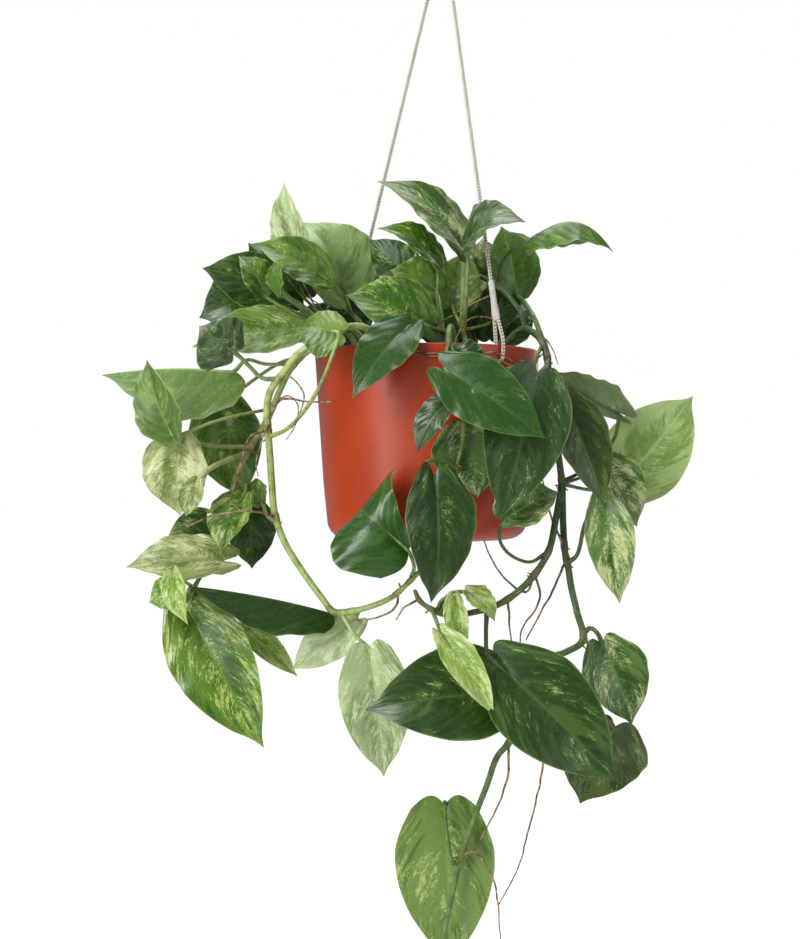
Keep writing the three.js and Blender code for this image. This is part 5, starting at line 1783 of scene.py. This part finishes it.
@dataclass(frozen=True)
class RopeHanger:
    """The forked rope: a leg and an eye at each side, their whippings, the knot and the loop."""

    eye_height: float = EYE_HOLE_HEIGHT
    eye_angles: tuple[float, float] = EYE_HOLE_ANGLES
    eye_bend: float = 3.4
    eye_top: float = 132.0
    eye_spread: float = 1.75
    whipping_radius: float = 2.9
    whipping_length: float = 26.0
    whipping_rise: float = 16.0
    meet_below: float = 8.0
    knot_bottom: float = 417.2
    knot_height: float = 15.0
    knot_radius: float = 6.8
    loop_half_width: float = 6.0
    thread: float = 0.46
    touch: float = 0.35

    def side(self, angle: float) -> dict[str, list[Vector]]:
        """Give the routes of the rope at one side of the pot.

        Args:
            angle: Where round the pot its hole is, in degrees.

        Returns:
            The points of its eye, whipping and leg.
        """
        turn = math.radians(angle)
        outward = Vector((math.cos(turn), math.sin(turn), 0.0))
        wall = pot_radius(self.eye_height) - POT_WALL / 2

        def in_plane(out: float, height: float) -> Vector:
            """Give a place by its distance out from the wall and its height."""
            return outward * (wall + out) + Vector((0, 0, height))

        neck = in_plane(0, self.eye_top)
        upward = (APEX - neck).normalized()
        spread = (outward - upward * outward.dot(upward)).normalized()
        foot = neck + upward * self.whipping_rise
        head = foot + upward * self.whipping_length
        end = foot - upward * 1.5 * self.touch
        turns = [math.radians(-30 * i) for i in range(7)]
        bend = [in_plane(self.eye_bend * math.cos(t),
                         self.eye_height + self.eye_bend * (1 + math.sin(t))) for t in turns]
        eye = [end + spread * self.eye_spread, in_plane(self.eye_bend + 0.4, self.eye_top), *bend,
               in_plane(-self.eye_bend, self.eye_top), end - spread * self.eye_spread]
        start, stop = head + upward * self.touch, APEX - upward * self.meet_below
        leg = [start.lerp(stop, i / 18) for i in range(19)]
        return {"eye": eye, "whipping": [foot, head], "leg": leg}

    def whipping(self, name: str, foot: Vector, head: Vector, yarn: Material, node: str) -> None:
        """Wind the white thread round the rope between two points.

        Args:
            name: The piece's name.
            foot: The lower point.
            head: The upper point.
            yarn: The thread's finish.
            node: The solid that it stands for.
        """
        shell = Shell()
        core = Route([foot, foot.lerp(head, 0.5), head])
        inner = core.stations(2.0)

        def reach(share: float) -> float:
            """Give the winding's radius, which is wide below, where the eye's two ropes enter."""
            return self.whipping_radius - self.thread - 0.75 * min(share * 2.4, 1.0)

        shell.sweep(inner, [reach(i / (len(inner) - 1)) - 0.1 for i in range(len(inner))], 16)
        turns = core.length / (self.thread * 1.8)
        count = round(turns * 14)
        side, out = frames_along([foot, head])[0]
        line = []
        for i in range(count + 1):
            angle = 2 * math.pi * turns * i / count
            lift = foot.lerp(head, (0.5 + i / count * (core.length - 1)) / core.length)
            line.append(lift + (side * math.cos(angle) + out * math.sin(angle)) * reach(i / count))
        shell.sweep(line, [self.thread] * len(line), 6)
        shell.finish(name, [yarn], [node], "rope")

    def knot(self, pale: Material, shade: Material) -> Piece:
        """Wrap the rope round itself into the knot that joins the legs and the loop.

        Args:
            pale: The finish of every second strand.
            shade: The darker finish of the others and of the core, painted shade of the gaps
                between strands.

        Returns:
            The piece.
        """
        shell = Shell()
        middle = Vector((APEX.x, APEX.y, 0))
        reach = self.knot_radius - ROPE_RADIUS
        low = self.knot_bottom + ROPE_RADIUS
        high = self.knot_bottom + self.knot_height - ROPE_RADIUS
        turns = (high - low) / (2.05 * ROPE_RADIUS)
        count = round(turns * 16)
        wrap = []
        for i in range(count + 1):
            angle = 2 * math.pi * turns * i / count
            inward = 1.0 - 0.35 * (max(0.0, 1 - i / 6) + max(0.0, 1 - (count - i) / 6))
            spot = Vector((math.cos(angle) * reach * inward, math.sin(angle) * reach * inward, 0))
            wrap.append(middle + spot + Vector((0, 0, low + (high - low) * i / count)))
        shell.braid(Route(wrap, 3))
        for i in range(4):
            angle = math.radians(45 + 90 * i)
            offset = Vector((math.cos(angle), math.sin(angle), 0)) * 2.2
            heights = (self.knot_bottom + 1, self.knot_bottom + 8,
                       self.knot_bottom + self.knot_height - 0.5)
            ends = [middle + offset + Vector((0, 0, z)) for z in heights]
            shell.braid(Route(ends))
        return shell.finish("knot_wraps", [pale, shade], ["top_knot"], "rope")

    def loop(self, pale: Material, shade: Material) -> Piece:
        """Bend the rope into the loop that the pot hangs by.

        Args:
            pale: The finish of every second strand.
            shade: The darker finish of the others and of the core, painted shade of the gaps
                between strands.

        Returns:
            The piece.
        """
        foot = self.knot_bottom + self.knot_height + 3 * self.touch
        crown = LOOP_TOP - ROPE_RADIUS - self.loop_half_width
        middle = (foot + crown) / 2
        bow = [(self.loop_half_width * math.cos(t), crown + self.loop_half_width * math.sin(t))
               for t in (math.pi * i / 6 for i in range(7))]
        wide = self.loop_half_width
        side = [(2.2, foot), (wide, middle), *bow, (-wide, middle), (-2.2, foot)]
        shell = Shell()
        shell.braid(Route([Vector((APEX.x + x, APEX.y, z)) for x, z in side]))
        return shell.finish("loop_rope", [pale, shade], ["hanging_loop"], "rope")

    def build(self, pale: Material, shade: Material, yarn: Material) -> None:
        """Build the whole hanger.

        Args:
            pale: The finish of every second strand.
            shade: The darker finish of the others and of the core, painted shade of the gaps
                between strands.
            yarn: The finish of the whippings.
        """
        tops = [self.knot(pale, shade), self.loop(pale, shade)]
        for label, angle in zip(("left", "right"), self.eye_angles):
            routes = self.side(angle)
            leg = Shell()
            leg.braid(Route(routes["leg"]))
            piece = leg.finish(f"leg_{label}_rope", [pale, shade], [f"rope_leg_{label}"], "rope")
            path = [tuple(PLACE @ point) for point in routes["leg"]]
            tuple(path[0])
            eye = Shell()
            eye.braid(Route(routes["eye"]))
            eye.finish(f"eye_{label}_rope", [pale, shade], [f"rope_eye_{label}"], "rope")
            foot, head = routes["whipping"]
            self.whipping(f"whipping_{label}_thread", foot, head, yarn, f"rope_whipping_{label}")


@dataclass(frozen=True)
class Lamp:
    """A soft area lamp: where it stands, what it points at, its size and its power."""

    name: str
    place: tuple[float, float, float]
    aim: tuple[float, float, float]
    width: float
    height: float
    power: float

    def build(self) -> None:
        """Put the lamp into the scene."""
        data = bpy.data.lights.new(self.name, "AREA")
        data.shape, data.size, data.size_y = "RECTANGLE", self.width, self.height
        data.energy = self.power
        lamp = place_object(self.name, data)
        lamp.location = self.place
        beam = Vector(self.aim) - Vector(self.place)
        lamp.rotation_euler = beam.to_track_quat("-Z", "Y").to_euler()


@dataclass(frozen=True)
class Studio:
    """The plain pale studio: the camera of the front picture, soft lamps, the sky and the floor."""

    eye: tuple[float, float, float] = (-0.0306, -1.0, -0.412)
    half_height: float = 0.32865
    film: float = 36.0
    floor_height: float = -1.25
    sky: float = 1.0
    glow: float = 0.36
    lamps: tuple[Lamp, ...] = (
        Lamp("key", (-1.2, -1.4, 0.7), (0.0, 0.0, -0.4), 0.9, 1.1, 30.0),
        Lamp("strip", (-1.35, -1.4, -0.5), (0.0, 0.0, -0.45), 0.75, 1.4, 11.0),
        Lamp("fill", (1.7, -1.1, 0.1), (0.0, 0.0, -0.4), 1.2, 1.4, 6.0),
        Lamp("top", (0.1, 0.3, 1.1), (0.0, 0.0, -0.3), 1.0, 1.0, 13.0),
        Lamp("rear", (0.5, 1.6, 0.2), (0.0, 0.0, -0.4), 1.2, 1.2, 8.0),
    )

    def camera(self) -> None:
        """Set the camera where the front picture was taken from."""
        data = bpy.data.cameras.new("front_camera")
        data.sensor_fit, data.sensor_width = "AUTO", self.film
        data.lens = self.film / 2 / self.half_height
        data.clip_start, data.clip_end = 0.01, 100.0
        camera = place_object("front_camera", data)
        camera.location = self.eye
        camera.rotation_euler = (math.pi / 2, 0.0, 0.0)
        bpy.context.scene.camera = camera

    def build(self) -> None:
        """Light the scene and lay the floor."""
        bpy.context.scene.view_settings.view_transform = "Standard"
        world = bpy.data.worlds.new("studio_sky")
        world.use_nodes = True
        wires = Wires(world.node_tree)
        sky = next(n for n in world.node_tree.nodes if n.type == "BACKGROUND")
        path = wires.add("ShaderNodeLightPath")
        wires.feed(sky.inputs["Color"], WHITE)
        strength = wires.step(path.outputs["Is Camera Ray"], 0.0, 1.0, self.glow, self.sky)
        wires.feed(sky.inputs["Strength"], strength)
        bpy.context.scene.world = world
        for lamp in self.lamps:
            lamp.build()
        mesh = bmesh.new()
        bmesh.ops.create_grid(mesh, x_segments=2, y_segments=2, size=30.0,
                              matrix=Matrix.Translation((0, 0, self.floor_height)))
        data = bpy.data.meshes.new("floor")
        mesh.to_mesh(data)
        mesh.free()
        floor = place_object("floor", data)
        material, wires, shader = new_material("floor_paint", 0.9, 0.1)
        tint = wires.step(wires.cloud(wires.here(), 1.5, 2.0), 0.3, 0.7, 0.86, 0.9)
        path = wires.add("ShaderNodeLightPath")
        wires.feed(shader.inputs["Base Color"], wires.spot(tint, tint, tint))
        wires.feed(shader.inputs["Emission Color"], WHITE)
        wires.feed(shader.inputs["Emission Strength"],
                   wires.times(path.outputs["Is Camera Ray"], 0.72))
        data.materials.append(material)


def main() -> None:
    """Set the camera, build the rope, the pot with its fill and the plants, and light them."""
    logging.basicConfig(level=logging.INFO, format="%(name)s: %(message)s")
    # Unseeded, noise_vector gives other values at each run.
    noise.seed_set(NOISE_SEED)
    studio = Studio()
    studio.camera()
    mottle, marbling = mottle_group(), marbling_group()
    pale = RopeFinish(mottle, "cotton_pale", (255, 253, 248), (236, 230, 218)).make()
    # The second rope finish is darker: painted shade of the gaps between the strands.
    shade = RopeFinish(mottle, "cotton_painted_shade", (172, 158, 138), (112, 98, 80)).make()
    yarn = RopeFinish(mottle, "whipping_yarn", (240, 236, 226), (188, 178, 162)).make()
    RopeHanger().build(pale, shade, yarn)
    Pot().build(PotFinish(mottle).make())
    peat = EarthFinish(mottle, "peat", (24, 16, 10), (66, 46, 30)).make()
    bark = EarthFinish(mottle, "bark_chip", (62, 38, 22), (120, 82, 50)).make()
    perlite = EarthFinish(mottle, "perlite", (196, 192, 184), (238, 236, 230), 0.0005).make()
    PottingMix().build(peat, bark, perlite)
    stem = StemFinish(mottle).make()
    root = RootFinish(mottle).make()
    face = LeafFinish(marbling).make()
    under = LeafFinish(marbling, "leaf_back", True).make()
    for vine in planting():
        vine.build(stem, face, under, root)
    DryStrands().build(root)
    studio.build()


if __name__ == "__main__":
    main()
